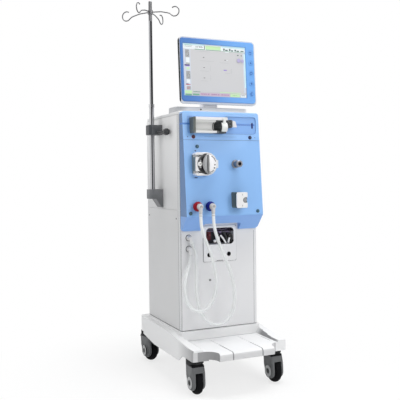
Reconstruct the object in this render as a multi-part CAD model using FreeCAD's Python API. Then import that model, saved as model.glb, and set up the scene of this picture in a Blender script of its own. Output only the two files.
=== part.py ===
import FreeCAD, Part
import math
import os

# A haemodialysis machine on four casters: cabinet, canister tray, blood-side
# fascia, tilting monitor and side pole. Millimetres, +Z up, the front faces -Y.
# The origin is on the floor at the centre of the base, on the cabinet's mid-plane.

V = FreeCAD.Vector
X_AXIS = V(1, 0, 0)
Y_AXIS = V(0, 1, 0)
Z_AXIS = V(0, 0, 1)

# Running and seating clearances
seat_gap = 0.3
slide_gap = 0.4
pivot_gap = 0.3
seam = 1.0

# Cabinet envelope
cabinet_width = 370.0
cabinet_front = -95.0
cabinet_rear = 311.0
cabinet_bottom = 226.0
cabinet_top = 1162.0
sheet = 2.0
panel_fold = 12.0
post_width = 22.0
post_depth = 20.0
half_width = cabinet_width / 2
fascia_front_bottom = 725.0
panel_split = fascia_front_bottom + 25.0

# Base moulding
base_width = 440.0
base_front = -292.0
base_rear = 352.0
base_wall = 5.0
tray_floor = 185.0
base_corner = 26.0
block_corner = 9.0
block_bottom = 146.0
skirt_bottom = block_bottom - 29.0
skirt_front_start = -183.0
skirt_front_end = skirt_front_start + 45.0
skirt_rear_start = 156.0
skirt_rear_end = base_rear - 10.0
skirt_rear_bottom = block_bottom - 5.0
rim_front_top = tray_floor + 7.0
rim_rear_top = cabinet_bottom - 7.0
rim_rise_start = base_front + 54.0
rim_rise_end = -40.0
plinth_margin = 4.0
tray_half_width = base_width / 2 - 48.0
tray_wall_slope = 0.75
tray_rear = cabinet_front - 14.0
tongue_front = base_front - 60.0
tongue_half_width = base_width / 2 - 93.0
tongue_bottom = block_bottom + 6.0
tongue_nose = 14.0
scoop_radius = 50.0
scoop_centre_x = base_width / 2 - 44.0
groove_width = 4.0
groove_depth = 2.5
groove_places = (-66.0, 70.0)
side_groove_x = tray_half_width - 10.0

# Chassis rails under the base moulding
rail_x = base_width / 2 - 35.0
rail_width = 44.0
rail_height = 30.0
rail_front = base_front + 16.0
rail_rear = base_rear - 12.0
beam_width = 36.0
frame_ring_height = 18.0

# Casters
caster_x = rail_x
caster_front_y = base_front + 60.0
caster_rear_y = base_rear - 26.0
wheel_diameter = 100.0
wheel_width = 28.0
wheel_trail = 12.0
axle_diameter = 10.0
stem_diameter = 12.0
stem_length = 24.0
swivel_diameter = 74.0
swivel_height = 21.0
hood_width = 56.0
hood_side = 11.0
hood_radius = 40.0
pedal_length = 30.0
pedal_thickness = 9.0
rear_left_caster_turn = 14.0

# Fascia: its front leans outward on the way down
fascia_top = cabinet_top + 11.0
fascia_top_depth = 29.3
fascia_slope = 0.0874
fascia_leg_bottom = fascia_front_bottom - 65.0
fascia_leg_depth = 11.0
fascia_gap_half = 91.0
fascia_gap_top = fascia_leg_bottom + 30.0
fascia_wall = 4.0
fascia_edge = 7.0
fascia_corner = 13.0
fascia_split = fascia_top - 123.0
fascia_half_width = half_width - 1.5

# Syringe pump
syringe_recess_left = -half_width + 22.0
syringe_recess_right = half_width - 17.0
syringe_recess_bottom = fascia_split + 28.0
syringe_recess_top = fascia_top - 20.0
syringe_recess_depth = 2.5
cradle_left = syringe_recess_left + 13.0
cradle_right = cradle_left + 160.0
cradle_bottom = syringe_recess_bottom + 1.0
cradle_top = cradle_bottom + 67.0
cradle_depth = 36.0
cradle_wall = 4.0
cradle_end = 10.0
barrel_radius = 19.0
barrel_z = cradle_bottom + 28.0
rail_lip = 12.0
slot_height = 7.0
slot_z = cradle_bottom + 40.0
slot_right = syringe_recess_right - 12.0
slot_end_width = 9.0
slot_end_height = 27.0
carriage_left = cradle_right + 3.0
carriage_width = 24.0
carriage_height = 34.0
thumb_width = 18.0
clamp_bar_x = cradle_right - 17.0
clamp_bar_width = 26.0
clamp_rod_diameter = 6.0
clamp_rod_length = 24.0
pusher_travel = 92.0

# Pressure ports under the syringe pump
pressure_port_x = half_width - 49.0
pressure_port_z = fascia_split + 13.5
pressure_port_diameter = 15.0

# Blood pump
pump_x = -half_width + 90.0
pump_z = fascia_split - 103.0
pump_housing_radius = 49.0
pump_housing_left = 53.0
pump_housing_corner = 13.0
pump_housing_depth = 35.0
chamber_radius = 44.0
chamber_depth = 27.0
roller_orbit = 30.0
roller_diameter = 20.0
roller_height = 20.0
guide_diameter = 7.0
guide_offset = 14.0
rotor_plate = 4.0
cover_radius = 42.0
cover_thickness = 7.0
cover_cut_radius = 52.0
cover_cut_shift = 30.0
handle_width = 8.0
handle_length = 76.0
handle_height = 10.0
handle_end = 7.0
tube_channel = 9.0
tube_offset_z = 34.0

# Dialyser holder post
post_x = half_width - 128.0
post_z = pump_z
post_diameter = 29.0
post_reach = 43.0
post_bore = 16.0
post_bore_depth = 30.0

# Air detector and line clamp
detector_left = half_width - 154.0
detector_right = detector_left + 52.0
detector_bottom = fascia_front_bottom + 33.0
detector_top = detector_bottom + 67.0
detector_depth = 43.0
door_thickness = 7.0
door_pin = 4.0
detector_corner = 5.0
tube_slot = 8.0
tube_slot_x = detector_left + 15.0
button_diameter = 19.0
button_travel = 2.5

# Dialysate couplings
supply_x = -half_width + 47.0
return_x = supply_x + 58.0
coupling_z = fascia_front_bottom + 43.0
collar_diameter = 41.0
collar_length = 29.0
collar_travel = 4.0
nipple_diameter = 22.0
elbow_reach = 46.0
elbow_drop = 31.0
shoulder_diameter = 27.0
barb_diameter = 14.0
hose_diameter = 13.5

# Rinse ports on the lower front panel
rinse_port_x = -half_width + 38.0
rinse_upper_z = fascia_leg_bottom - 30.0
rinse_lower_z = rinse_upper_z - 48.0
rinse_flange = 23.0
rinse_reach = 20.0
rinse_drop = 22.0
rinse_upper_turn = 20.0

# Connector bay
bay_left = -78.0
bay_right = bay_left + 160.0
bay_top = fascia_gap_top - 13.0
bay_bottom = bay_top - 156.0
bay_corner = 8.0
bay_opening_left = bay_left + 13.0
bay_opening_right = bay_right - 12.0
bay_opening_top = bay_top - 9.0
bay_opening_bottom = bay_opening_top - 73.0
bay_depth = 62.0
bay_plate = 3.0
bay_hole_diameter = 20.0
bay_hole_z = bay_bottom + 29.5
bay_hole_offset = 48.0

# Top cover, monitor stand and monitor
cover_height = 14.0
plate_half_width = half_width - 5.0
plate_front = -42.0
plate_rear = plate_front + 97.0
plate_height = 24.0
plate_corner = 26.0
neck_y = plate_front + 45.0
neck_base_diameter = 84.0
neck_width = 64.0
neck_depth = 34.0
hinge_z = cabinet_top + 160.0
hinge_barrel = 26.0
hinge_pin = 10.0
hinge_length = 96.0
screen_width = 304.0
screen_height = 228.0
screen_y = neck_y - 79.0
screen_z = hinge_z + 35.5
screen_lean = 3.7
bezel_left = 165.5
bezel_right = 195.0
bezel_up = 137.0
bezel_down = 138.5
bezel_thickness = 12.0
bezel_corner = 14.0
trim_left = 5.0
trim_right = 5.0
trim_up = 5.0
trim_down = 9.0
shell_depth = 36.0
shell_wall = 3.0
panel_module = 8.0
key_x = 177.0
key_size = 23.0
key_pitch = 46.6
key_top = 91.5
key_travel = 0.8
key_gap = 0.5

# Pole with hooks
pole_x = -half_width - 40.0
pole_y = (cabinet_front + cabinet_rear) / 2 + 25.0
pole_diameter = 22.0
pole_wall = 2.0
pole_bottom = 800.0
pole_step = cabinet_top + 63.0
inner_diameter = 16.0
inner_bottom = pole_step - 175.0
pole_top = pole_step + 465.0
hook_hub_z = pole_top - 50.0
hook_reach = 141.0
hook_curl = 21.0
hook_low = hook_hub_z - 28.0
hook_wire = 5.0
hook_turn = -45.0
bracket_reach = 62.0
bracket_width = 58.0
bracket_height = 45.0
upper_bracket_z = cabinet_top - 54.0
lower_bracket_z = pole_bottom + 17.0
gusset_height = 40.0
knob_x = -half_width - 20.0
knob_diameter = 30.0
knob_length = 106.0
knob_neck = 6.0
knob_stem = 15.0
knob_head = 24.0

# Rear services
water_z = 330.0
water_spacing = 60.0
water_reach = 34.0
louvre_count = 9
louvre_pitch = 16.0
louvre_length = 110.0
louvre_height = 5.0
louvre_z = cabinet_top - 222.0

# Inner units and fasteners
tray_sheet = 4.0
unit_side = 55.0
unit_front = 77.0
unit_rear = 61.0
manifold_height = 197.0
heater_diameter = 70.0
heater_height = 257.0
degasser_diameter = 56.0
degasser_height = 187.0
balance_height = 107.0
fluid_pump_diameter = 42.0
fluid_pump_height = 87.0
power_height = 170.0
fin_count = 12
fin_height = 14.0
dome_diameter = 16.0
screw_head = 7.0
lock_diameter = 10.0
louvre_x = 75.0

# Hose routes, each point from its coupling's end: supply from the red one, return from the
# blue one. hose_drop is the height of those ends over the tray floor
supply_middle = [
    (12, 2.7, -87), (36, 7.7, -137), (60, 15.7, -192), (76, 21.7, -252), (81, 25.7, -312),
    (68, 27.7, -371), (33, 28.7, -409), (-12, 31.7, -415), (-46, 41.7, -383), (-55, 51.7, -332),
    (-48, 62.7, -282), (-30, 77.7, -242)]
return_middle = [
    (12, 1.7, -87), (36, 3.7, -147), (66, 8.7, -209), (91, 13.7, -272), (106, 18.7, -337),
    (108, 24.7, -402), (86, 29.7, -457), (40, 35.7, -485), (-9, 44.7, -467), (-41, 53.7, -421),
    (-53, 60.7, -365), (-53, 65.7, -302), (-49, 72.7, -239), (-44, 83.7, -189)]
hose_drop = 552.0
hose_first_run = 39.0
hose_last_run = 27.0


def box(x0, x1, y0, y1, z0, z1):
    """A block between two corners."""
    return Part.makeBox(x1 - x0, y1 - y0, z1 - z0, V(x0, y0, z0))


def rod(start, axis, diameter, length):
    """A round bar from a start point along an axis."""
    return Part.makeCylinder(diameter / 2, length, V(*start), axis)


def tube(start, axis, outer, inner, length):
    """A round tube from a start point along an axis."""
    return rod(start, axis, outer, length).cut(rod(start, axis, inner, length))


def rounded_wire(points):
    """A closed wire through corner points (vector, radius), each corner an arc."""
    corners = []
    count = len(points)
    for i, (point, radius) in enumerate(points):
        before = (points[i - 1][0] - point).normalize()
        after = (points[(i + 1) % count][0] - point).normalize()
        half = before.getAngle(after) / 2
        if radius <= 0:
            corners.append((point, None, point))
            continue
        reach = radius / math.tan(half)
        bisector = (before + after).normalize()
        middle = point + bisector * (radius / math.sin(half) - radius)
        corners.append((point + before * reach, middle, point + after * reach))
    edges = []
    for i, (start, middle, end) in enumerate(corners):
        if middle is not None:
            edges.append(Part.Arc(start, middle, end).toShape())
        following = corners[(i + 1) % count][0]
        if (following - end).Length > 1e-6:
            edges.append(Part.LineSegment(end, following).toShape())
    return Part.Wire(edges)


def prism(points, direction):
    """The solid swept by a rounded outline along a vector."""
    return Part.Face(rounded_wire(points)).extrude(direction)


def plate_xz(x0, x1, z0, z1, y0, y1, radius):
    """A rounded rectangle seen from the front, y0 to y1 deep."""
    corners = [(x0, z0), (x1, z0), (x1, z1), (x0, z1)]
    return prism([(V(x, y0, z), radius) for x, z in corners], V(0, y1 - y0, 0))


def plate_xy(x0, x1, y0, y1, z0, z1, radius):
    """A rounded rectangle seen from above, z0 to z1 high."""
    corners = [(x0, y0), (x1, y0), (x1, y1), (x0, y1)]
    return prism([(V(x, y, z0), radius) for x, y in corners], V(0, 0, z1 - z0))


def side_prism(points, x0, x1):
    """An outline of (y, z, radius) points swept from x0 to x1."""
    return prism([(V(x0, y, z), r) for y, z, r in points], V(x1 - x0, 0, 0))


def lathe(profile, centre, axis):
    """A turned solid from (radius, station) points about an axis at a centre."""
    points = [V(r, 0, s) for r, s in profile]
    solid = Part.Face(Part.makePolygon(points + [points[0]])).revolve(
        V(0, 0, 0), Z_AXIS, 360)
    solid.Placement = FreeCAD.Placement(V(*centre), FreeCAD.Rotation(Z_AXIS, axis))
    return solid


def fuse(shapes):
    """One solid from several that touch."""
    first = shapes[0]
    return first.fuse(shapes[1:]).removeSplitter() if shapes[1:] else first


def mirrored(shape):
    """The same shape on the other side of the cabinet's mid-plane."""
    return shape.mirror(V(0, 0, 0), X_AXIS)


def edge_fillet(shape, radius, chosen):
    """Round the edges whose middle point passes a test."""
    edges = []
    for edge in shape.Edges:
        middle = edge.valueAt((edge.FirstParameter + edge.LastParameter) / 2)
        if chosen(middle):
            edges.append(edge)
    return shape.makeFillet(radius, edges)


def save(name, shapes):
    """Write one node's solid, or its group of separate solids."""
    shapes = shapes if isinstance(shapes, list) else [shapes]
    solids = [solid for shape in shapes for solid in shape.Solids]
    whole = solids[0] if len(solids) == 1 else Part.makeCompound(solids)
    whole.exportStep("parts/" + name + ".step")


# Places that several pieces share
def face_y(z, proud=0.0):
    """Where the fascia's front face stands at a height, and a distance before it."""
    return cabinet_front - fascia_top_depth - (fascia_top - z) * fascia_slope - proud


def before_face(shape, gap=seat_gap):
    """What of a shape stands in front of the fascia's face."""
    low, high = fascia_leg_bottom - 100, fascia_top + 100
    wall = side_prism([(face_y(low, gap), low, 0), (face_y(high, gap), high, 0),
                       (cabinet_rear, high, 0), (cabinet_rear, low, 0)],
                      -base_width, base_width)
    return shape.cut(wall)


# Base
def base_plan(inset, z0, z1):
    """The base seen from above: two front blocks with scoops beside a tongue."""
    side = base_width / 2 - inset
    front, rear = base_front + inset, base_rear - inset
    body = prism([(V(-side, front, z0), block_corner - inset),
                  (V(side, front, z0), block_corner - inset),
                  (V(side, rear, z0), base_corner - inset),
                  (V(-side, rear, z0), base_corner - inset)], V(0, 0, z1 - z0))
    centre = box(-scoop_centre_x, scoop_centre_x, tongue_front + inset,
                 base_front + inset + base_corner, z0, z1)
    plan = body.fuse(centre)
    for sign in (-1, 1):
        plan = plan.cut(rod((sign * scoop_centre_x, base_front - scoop_radius, z0 - 1),
                            Z_AXIS, 2 * (scoop_radius + inset), z1 - z0 + 2))
        edge = sign * (tongue_half_width - inset)
        outer = sign * (scoop_centre_x + scoop_radius)
        plan = plan.cut(box(min(edge, outer), max(edge, outer), tongue_front - 1,
                            base_front - scoop_radius, z0 - 1, z1 + 1))
    return plan


def tongue_profile(inset):
    """Side view of the front tongue with its round nose, inside the base's outline."""
    return [(tongue_front + inset, tongue_bottom + inset, 4.0),
            (tongue_front + inset, tray_floor - inset, tongue_nose),
            (base_front + base_corner, tray_floor - inset, 0),
            (base_front + base_corner, tongue_bottom + inset, 0)]


def base_side(inset):
    """Side view of the base between its skirt and its rising rim."""
    return [(base_front + inset - 2, block_bottom, 0),
            (base_front + inset - 2, rim_front_top - inset, 0),
            (rim_rise_start, rim_front_top - inset, 60),
            (rim_rise_end, rim_rear_top - inset - 3, 60),
            (base_rear - inset, rim_rear_top - inset, 0),
            (base_rear - inset, skirt_rear_bottom, 0),
            (skirt_rear_start, skirt_bottom, 30),
            (skirt_front_end, skirt_bottom, 4),
            (skirt_front_start, block_bottom, 4)]


def tray_pocket():
    """The canister tray's space: a flat floor and side walls that lean outward."""
    top = cabinet_bottom + 20
    spread = tray_half_width + (top - tray_floor) * tray_wall_slope
    y0 = tongue_front - 20
    return prism([(V(-tray_half_width, y0, tray_floor), 5), (V(tray_half_width, y0, tray_floor), 5),
                  (V(spread, y0, top), 0), (V(-spread, y0, top), 0)],
                 V(0, tray_rear - y0, 0))


def base_moulding():
    """The white base: tray, tongue, skirts and the plinth that the cabinet stands on."""
    low, high = skirt_bottom - 10, cabinet_bottom + 1
    side = base_width / 2 + 1
    body = base_plan(0, low, high).common(side_prism(base_side(0), -side, side))
    nose = base_plan(0, low, high).common(
        side_prism(tongue_profile(0), -side, side))
    body = body.fuse(nose)
    plinth_x = half_width + plinth_margin
    plinth = prism([(V(-plinth_x - 4, tray_rear, rim_front_top), 0),
                    (V(plinth_x + 4, tray_rear, rim_front_top), 0),
                    (V(plinth_x, tray_rear, cabinet_bottom - 1), 3),
                    (V(-plinth_x, tray_rear, cabinet_bottom - 1), 3)],
                   V(0, cabinet_rear + plinth_margin - tray_rear, 0))
    body = body.fuse(plinth).cut(tray_pocket())

    shell_top = tray_floor - base_wall
    hollow_side = [(tongue_front + base_wall, low - 5, 0),
                   (tongue_front + base_wall, shell_top, tongue_nose - base_wall),
                   (tray_rear - base_wall, shell_top, 0),
                   (tray_rear + base_wall, rim_front_top, 0),
                   (rim_rise_end, rim_rear_top - 3 - base_wall, 0),
                   (base_rear - base_wall, rim_rear_top - 3 - base_wall, 0),
                   (base_rear - base_wall, low - 5, 0)]
    hollow = base_plan(base_wall, low - 10, high).common(
        side_prism(hollow_side, -side, side))
    body = body.cut(hollow)
    for x, y in caster_places():
        body = body.cut(rod((x, y, low), Z_AXIS, swivel_diameter + 8, block_bottom - low))
    for x in groove_places + (-side_groove_x, side_groove_x):
        band = box(x - groove_width / 2, x + groove_width / 2, tongue_front - 1,
                   tray_rear - 12, tongue_bottom, tray_floor + 1)
        if abs(x) > tongue_half_width:
            band = box(x - groove_width / 2, x + groove_width / 2, base_front + 40,
                       tray_rear - 12, tray_floor - groove_depth / 2, tray_floor + 1)
            body = body.cut(band)
            continue
        core = side_prism([(tongue_front + groove_depth, low, 0),
                           (tongue_front + groove_depth, tray_floor - groove_depth,
                            tongue_nose - groove_depth),
                           (tray_rear, tray_floor - groove_depth, 0),
                           (tray_rear, low, 0)], -side, side)
        body = body.cut(band.cut(core))
    for x, y in post_corners():
        body = body.cut(box(x - post_width / 2 - seam, x + post_width / 2 + seam,
                            y - post_depth / 2 - seam, y + post_depth / 2 + seam,
                            tray_floor, high + 5))
    return body.removeSplitter()


def post_corners():
    """Centres of the four upright posts, flush inside the cabinet's corners."""
    x = half_width - post_width / 2
    front = cabinet_front + sheet + post_depth / 2
    rear = cabinet_rear - sheet - post_depth / 2
    return [(-x, front), (x, front), (-x + sheet, rear), (x - sheet, rear)]


def chassis_frame():
    """Welded frame: two rails that carry the casters, posts, rings and a shelf."""
    rail_bottom = block_bottom + seat_gap
    rail_top = rail_bottom + rail_height
    bars = []
    for sign in (-1, 1):
        x = sign * rail_x
        bars.append(box(x - rail_width / 2, x + rail_width / 2, rail_front, rail_rear,
                        rail_bottom, rail_top))
    for y in (caster_front_y + 20, post_corners()[0][1], post_corners()[2][1]):
        bars.append(box(-rail_x, rail_x, y - beam_width / 2, y + beam_width / 2,
                        rail_bottom, rail_top))
    for x, y in post_corners():
        bars.append(box(x - post_width / 2, x + post_width / 2, y - post_depth / 2,
                        y + post_depth / 2, rail_top - 1, cabinet_top - seam))
    (x0, y0), (x1, _), _, (_, y1) = post_corners()
    levels = (cabinet_bottom + seam, panel_split - frame_ring_height,
              cabinet_top - seam - frame_ring_height)
    inner = half_width - post_width
    for z in levels:
        outside = box(-inner - 2, inner + 2, y0 - post_depth / 2, y1 + post_depth / 2, z,
                      z + frame_ring_height)
        inside = box(-inner + 14, inner - 14, y0 + post_depth / 2, y1 - post_depth / 2,
                     z - 1, z + frame_ring_height + 1)
        bars.append(outside.cut(inside))
    for z in levels[:2]:
        bars.append(box(-inner, inner, y0, y1, z, z + sheet))
    frame = fuse(bars)
    for x, y in caster_places():
        frame = frame.cut(rod((x, y, rail_bottom - 1), Z_AXIS,
                              stem_diameter + 2 * pivot_gap, stem_length + 2))
    return frame


def caster_places():
    """Stem axes of the four casters, front left, front right, rear left, rear right."""
    return [(-caster_x, caster_front_y), (caster_x, caster_front_y),
            (-caster_x, caster_rear_y), (caster_x, caster_rear_y)]


# Casters
def caster_fork():
    """Swivel head and hood of one caster, its stem on the Z axis."""
    top = block_bottom
    axle_z = wheel_diameter / 2
    axle_y = -wheel_trail
    head_bottom = top - swivel_height
    head = lathe([(0, 0), (swivel_diameter / 2 - 3, 0), (swivel_diameter / 2, 3),
                  (swivel_diameter / 2, swivel_height), (0, swivel_height)],
                 (0, 0, head_bottom), Z_AXIS)
    stem = rod((0, 0, top - 1), Z_AXIS, stem_diameter, stem_length + 1)
    half = hood_width / 2
    crown = head_bottom + 1
    back = swivel_diameter / 2 - 3
    outline = [(axle_y - hood_radius, axle_z - hood_radius + 8, hood_radius - 6),
               (axle_y - hood_radius + 6, axle_z + 42, 26), (-back, crown, 3), (back, crown, 3),
               (back - 4, axle_z + 22, 14), (axle_y + hood_radius - 4, axle_z + 6, 16),
               (axle_y + hood_radius - 8, axle_z - hood_radius + 8, hood_radius - 12)]
    hood = side_prism(outline, -half, half)
    hood = edge_fillet(hood, 6, lambda p: abs(abs(p.x) - half) < 0.01 and p.z < crown - 3)
    room = wheel_width / 2 + 3
    tyre_room = rod((-room, axle_y, axle_z), X_AXIS, wheel_diameter + 10, 2 * room)
    below = box(-room, room, -100, 100, -10, axle_z)
    arch = prism([(V(-room, -100, -10), 0), (V(room, -100, -10), 0),
                  (V(room, -100, axle_z + 42), room - 1), (V(-room, -100, axle_z + 42), room - 1)],
                 V(0, 100 + axle_y, 0))
    hood = hood.cut(tyre_room).cut(below).cut(arch)
    hub = rod((-half - 1.5, axle_y, axle_z), X_AXIS, 52, 3)
    hub = hub.fuse(rod((half - 1.5, axle_y, axle_z), X_AXIS, 52, 3))
    axle = rod((-half - 2, axle_y, axle_z), X_AXIS, axle_diameter, hood_width + 4)
    bosses = []
    for sign in (-1, 1):
        x0 = sign * (half - hood_side)
        x1 = sign * (wheel_width / 2 + 1)
        bosses.append(rod((min(x0, x1), axle_y, axle_z), X_AXIS, 22, abs(x1 - x0)))
    fork = fuse([head, stem, hood, hub, axle] + bosses)
    y, z = pedal_pivot()
    hinge = rod((-half + 1, y, z), X_AXIS, 5, hood_width - 2)
    slot = box(-17, 17, y - 8, 100, z - 12, z + 8)
    return fork.cut(slot).fuse(hinge).removeSplitter()


def pedal_pivot():
    """Y and Z of the brake pedal's pin, at the back of the hood."""
    return (swivel_diameter / 2 - 12, block_bottom - swivel_height - 12)


def caster_wheel():
    """Tyre and centre of one wheel, its axle along X."""
    half = wheel_width / 2
    rim = wheel_diameter / 2
    bore = axle_diameter / 2 + pivot_gap
    return lathe([(bore, -half), (rim * 0.55, -half), (rim * 0.6, -half + 4),
                  (rim * 0.74, -half + 4), (rim * 0.8, -half + 1), (rim - 4, -half + 2),
                  (rim - 1, -half + 8), (rim, 0), (rim - 1, half - 8), (rim - 4, half - 2),
                  (rim * 0.8, half - 1), (rim * 0.74, half - 4), (rim * 0.6, half - 4),
                  (rim * 0.55, half), (bore, half)],
                 (0, -wheel_trail, wheel_diameter / 2), X_AXIS)


def caster_pedal():
    """Brake pedal on its pin at the back of the hood."""
    y, z = pedal_pivot()
    arm = side_prism([(y - 5, z - 5, 4.5), (y + pedal_length - 4, z - 7, 3),
                      (y + pedal_length, z - 9 + pedal_thickness, 4),
                      (y + 8, z + 5.5, 4), (y - 5, z + 5, 4.5)], -15, 15)
    return arm.cut(rod((-20, y, z), X_AXIS, 5 + 2 * pivot_gap, 40))


def place_caster(shape, x, y, turn):
    """A caster piece set under its stem and turned about it."""
    moved = shape.copy()
    moved.Placement = FreeCAD.Placement(V(x, y, 0), FreeCAD.Rotation(Z_AXIS, turn)).multiply(
        moved.Placement)
    return moved


# Cabinet
def side_panel(z0, z1):
    """A folded sheet panel for the left side."""
    y0 = cabinet_front + sheet + post_depth + seam
    y1 = cabinet_rear - sheet - seam
    outer = box(-half_width, -half_width + panel_fold, y0, y1, z0, z1)
    inner = box(-half_width + sheet, 0, y0 + sheet, y1 - sheet, z0 + sheet, z1 - sheet)
    corners = [box(-half_width + sheet, 0, y - post_depth / 2 - seam, y + post_depth / 2 + seam,
                   z0 - 1, z1 + 1) for y in (post_corners()[2][1],)]
    panel = outer.cut(inner)
    for corner in corners:
        panel = panel.cut(corner)
    for z in (cabinet_bottom + seam, panel_split - frame_ring_height,
              cabinet_top - seam - frame_ring_height):
        panel = panel.cut(box(-half_width + sheet, 0, y0 - 1, y1 + 1, z - seam,
                              z + frame_ring_height + seam))
    return panel


def side_panels(z0, z1):
    """The left and right panels between two heights."""
    left = side_panel(z0, z1)
    return [left, mirrored(left)]


def rear_cover():
    """Sheet cover with louvres, a mains opening and holes for the water fittings."""
    cover = box(-half_width, half_width, cabinet_rear - sheet, cabinet_rear,
                cabinet_bottom + seam, cabinet_top - seam)
    for row in range(louvre_count):
        z = louvre_z + row * louvre_pitch
        for x in (-louvre_x, louvre_x):
            cover = cover.cut(plate_xz(x - louvre_length / 2, x + louvre_length / 2, z,
                                       z + louvre_height, cabinet_rear - sheet - 1,
                                       cabinet_rear + 1, louvre_height / 2 - 0.1))
    for place in water_places():
        cover = cover.cut(rod((place, cabinet_rear - sheet - 1, water_z), Y_AXIS,
                              20 + 2 * seat_gap, sheet + 2))
    return cover


def water_places():
    """X of the water inlet, the drain and the overflow at the rear."""
    return [-water_spacing, 0.0, water_spacing]


def water_fittings():
    """Three hose tails with nuts, standing out of the rear cover."""
    fittings = []
    for x in water_places():
        tail = [(0, -10), (10, -10), (10, 0), (14, 0), (14, 7), (8, 7), (7, 12)]
        for ring in range(3):
            start = 12 + ring * 7
            tail += [(8, start + 1), (6.5, start + 7)]
        tail += [(6.5, water_reach), (4, water_reach), (4, -10)]
        profile = [(r, s) for r, s in tail if r > 0]
        fittings.append(lathe(profile, (x, cabinet_rear + seat_gap, water_z), Y_AXIS))
    return fittings


def top_cover():
    """Moulded lid of the cabinet with rounded upper edges."""
    z0 = cabinet_top + seat_gap
    z1 = cabinet_top + cover_height
    lid = plate_xy(-half_width, half_width, cabinet_front, cabinet_rear, z0, z1, 10)
    lid = edge_fillet(lid, 6, lambda p: abs(p.z - z1) < 0.01)
    hollow = plate_xy(-half_width + 4, half_width - 4, cabinet_front + 4, cabinet_rear - 4,
                      z0 - 1, z1 - 5, 6)
    return lid.cut(hollow)


def front_panel():
    """Front sheet behind the fascia, cut out for the connector bay and rinse ports."""
    panel = box(-half_width, half_width, cabinet_front, cabinet_front + sheet,
                cabinet_bottom + seam, cabinet_top - seam)
    panel = panel.cut(plate_xz(bay_left + 3, bay_right - 3, bay_bottom + 3, bay_top - 3,
                               cabinet_front - 1, cabinet_front + sheet + 1, bay_corner - 3))
    for z in (rinse_upper_z, rinse_lower_z):
        panel = panel.cut(rod((rinse_port_x, cabinet_front - 1, z), Y_AXIS,
                              16 + 2 * seat_gap, sheet + 2))
    return panel


def connector_bay():
    """Insert plate with a deep rounded recess and two small sockets."""
    y0 = cabinet_front - bay_plate
    plate = plate_xz(bay_left, bay_right, bay_bottom, bay_top, y0, cabinet_front - seat_gap,
                     bay_corner)
    tub_back = cabinet_front + bay_depth
    tub = plate_xz(bay_opening_left - 3, bay_opening_right + 3, bay_opening_bottom - 3,
                   bay_opening_top + 3, y0 + 1, tub_back, 20)
    body = plate.fuse(tub)
    for x in bay_holes():
        body = body.fuse(rod((x, y0 + 1, bay_hole_z), Y_AXIS, bay_hole_diameter + 5, 24))
    body = body.cut(plate_xz(bay_opening_left, bay_opening_right, bay_opening_bottom,
                             bay_opening_top, y0 - 1, tub_back - 3, 17))
    for x in bay_holes():
        body = body.cut(rod((x, y0 - 1, bay_hole_z), Y_AXIS, bay_hole_diameter, 22))
    middle = (bay_left + bay_right) / 2
    body = body.cut(plate_xz(middle - 14, middle + 14, bay_bottom - 3, bay_bottom + 3, y0 - 1,
                             y0 + 1.2, 2))
    return body


def bay_holes():
    """X of the two small sockets under the recess."""
    middle = (bay_left + bay_right) / 2 - 5
    return [middle - bay_hole_offset, middle + bay_hole_offset]


def bay_connectors():
    """Two concentrate connectors seated in the recess, one with a bent tail."""
    back = cabinet_front + bay_depth - 3 - seat_gap
    z = (bay_opening_bottom + bay_opening_top) / 2
    block = plate_xz(bay_opening_left + 9, bay_opening_left + 37, z - 20, z + 22, back - 30,
                     back, 5)
    nose = rod((bay_opening_left + 23, back - 29, z + 4), V(0, -1, 0), 16, 12)
    spigot = rod((bay_opening_left + 23, back - 40, z + 4), V(0, -1, 0), 9, 9)
    x = bay_opening_right - 34
    body = lathe([(0, 0), (14, 0), (14, 14), (11, 17), (11, 30), (8, 33), (0, 33)],
                 (x, back, z + 12), V(0, -1, 0))
    arm = rod((x, back - 30, z + 12), V(0, -1, 0), 11, 14)
    tail = rod((x, back - 37, z + 14), V(0, 0, -1), 9, 34)
    return [fuse([block, nose, spigot]), fuse([body, arm, tail])]


# Fascia
def fascia_side(inset):
    """Side view of the whole fascia."""
    back = cabinet_front - seat_gap
    leg = cabinet_front - fascia_leg_depth
    return [(back + (1 if inset else 0), fascia_leg_bottom + inset, 0),
            (leg + inset, fascia_leg_bottom + inset, 3),
            (face_y(fascia_front_bottom) + inset, fascia_front_bottom + inset * 0.5, 12),
            (face_y(fascia_top) + inset, fascia_top - inset, 6 if not inset else 3),
            (back + (1 if inset else 0), fascia_top - inset, 0)]


def fascia_front(inset, y0, y1):
    """Front view of the fascia: straight sides, rounded corners."""
    side = fascia_half_width - inset
    return plate_xz(-side, side, fascia_leg_bottom + inset, fascia_top - inset, y0, y1,
                    fascia_corner - inset)


def fascia_block(inset):
    """The fascia as a solid, its front edges rounded, shrunk by an inset."""
    deep = face_y(fascia_leg_bottom) - 20
    wide = fascia_half_width + 1
    block = side_prism(fascia_side(inset), -wide, wide)
    block = block.common(fascia_front(inset, deep, cabinet_front + 2))
    gap = plate_xz(-fascia_gap_half - inset, fascia_gap_half + inset, fascia_leg_bottom - 60,
                   fascia_gap_top + inset, deep, cabinet_front + 5, 10)
    return block.cut(gap)


def fascia_shell():
    """The hollow fascia before it is parted and pierced."""
    return fascia_block(0).cut(fascia_block(fascia_wall))


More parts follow.
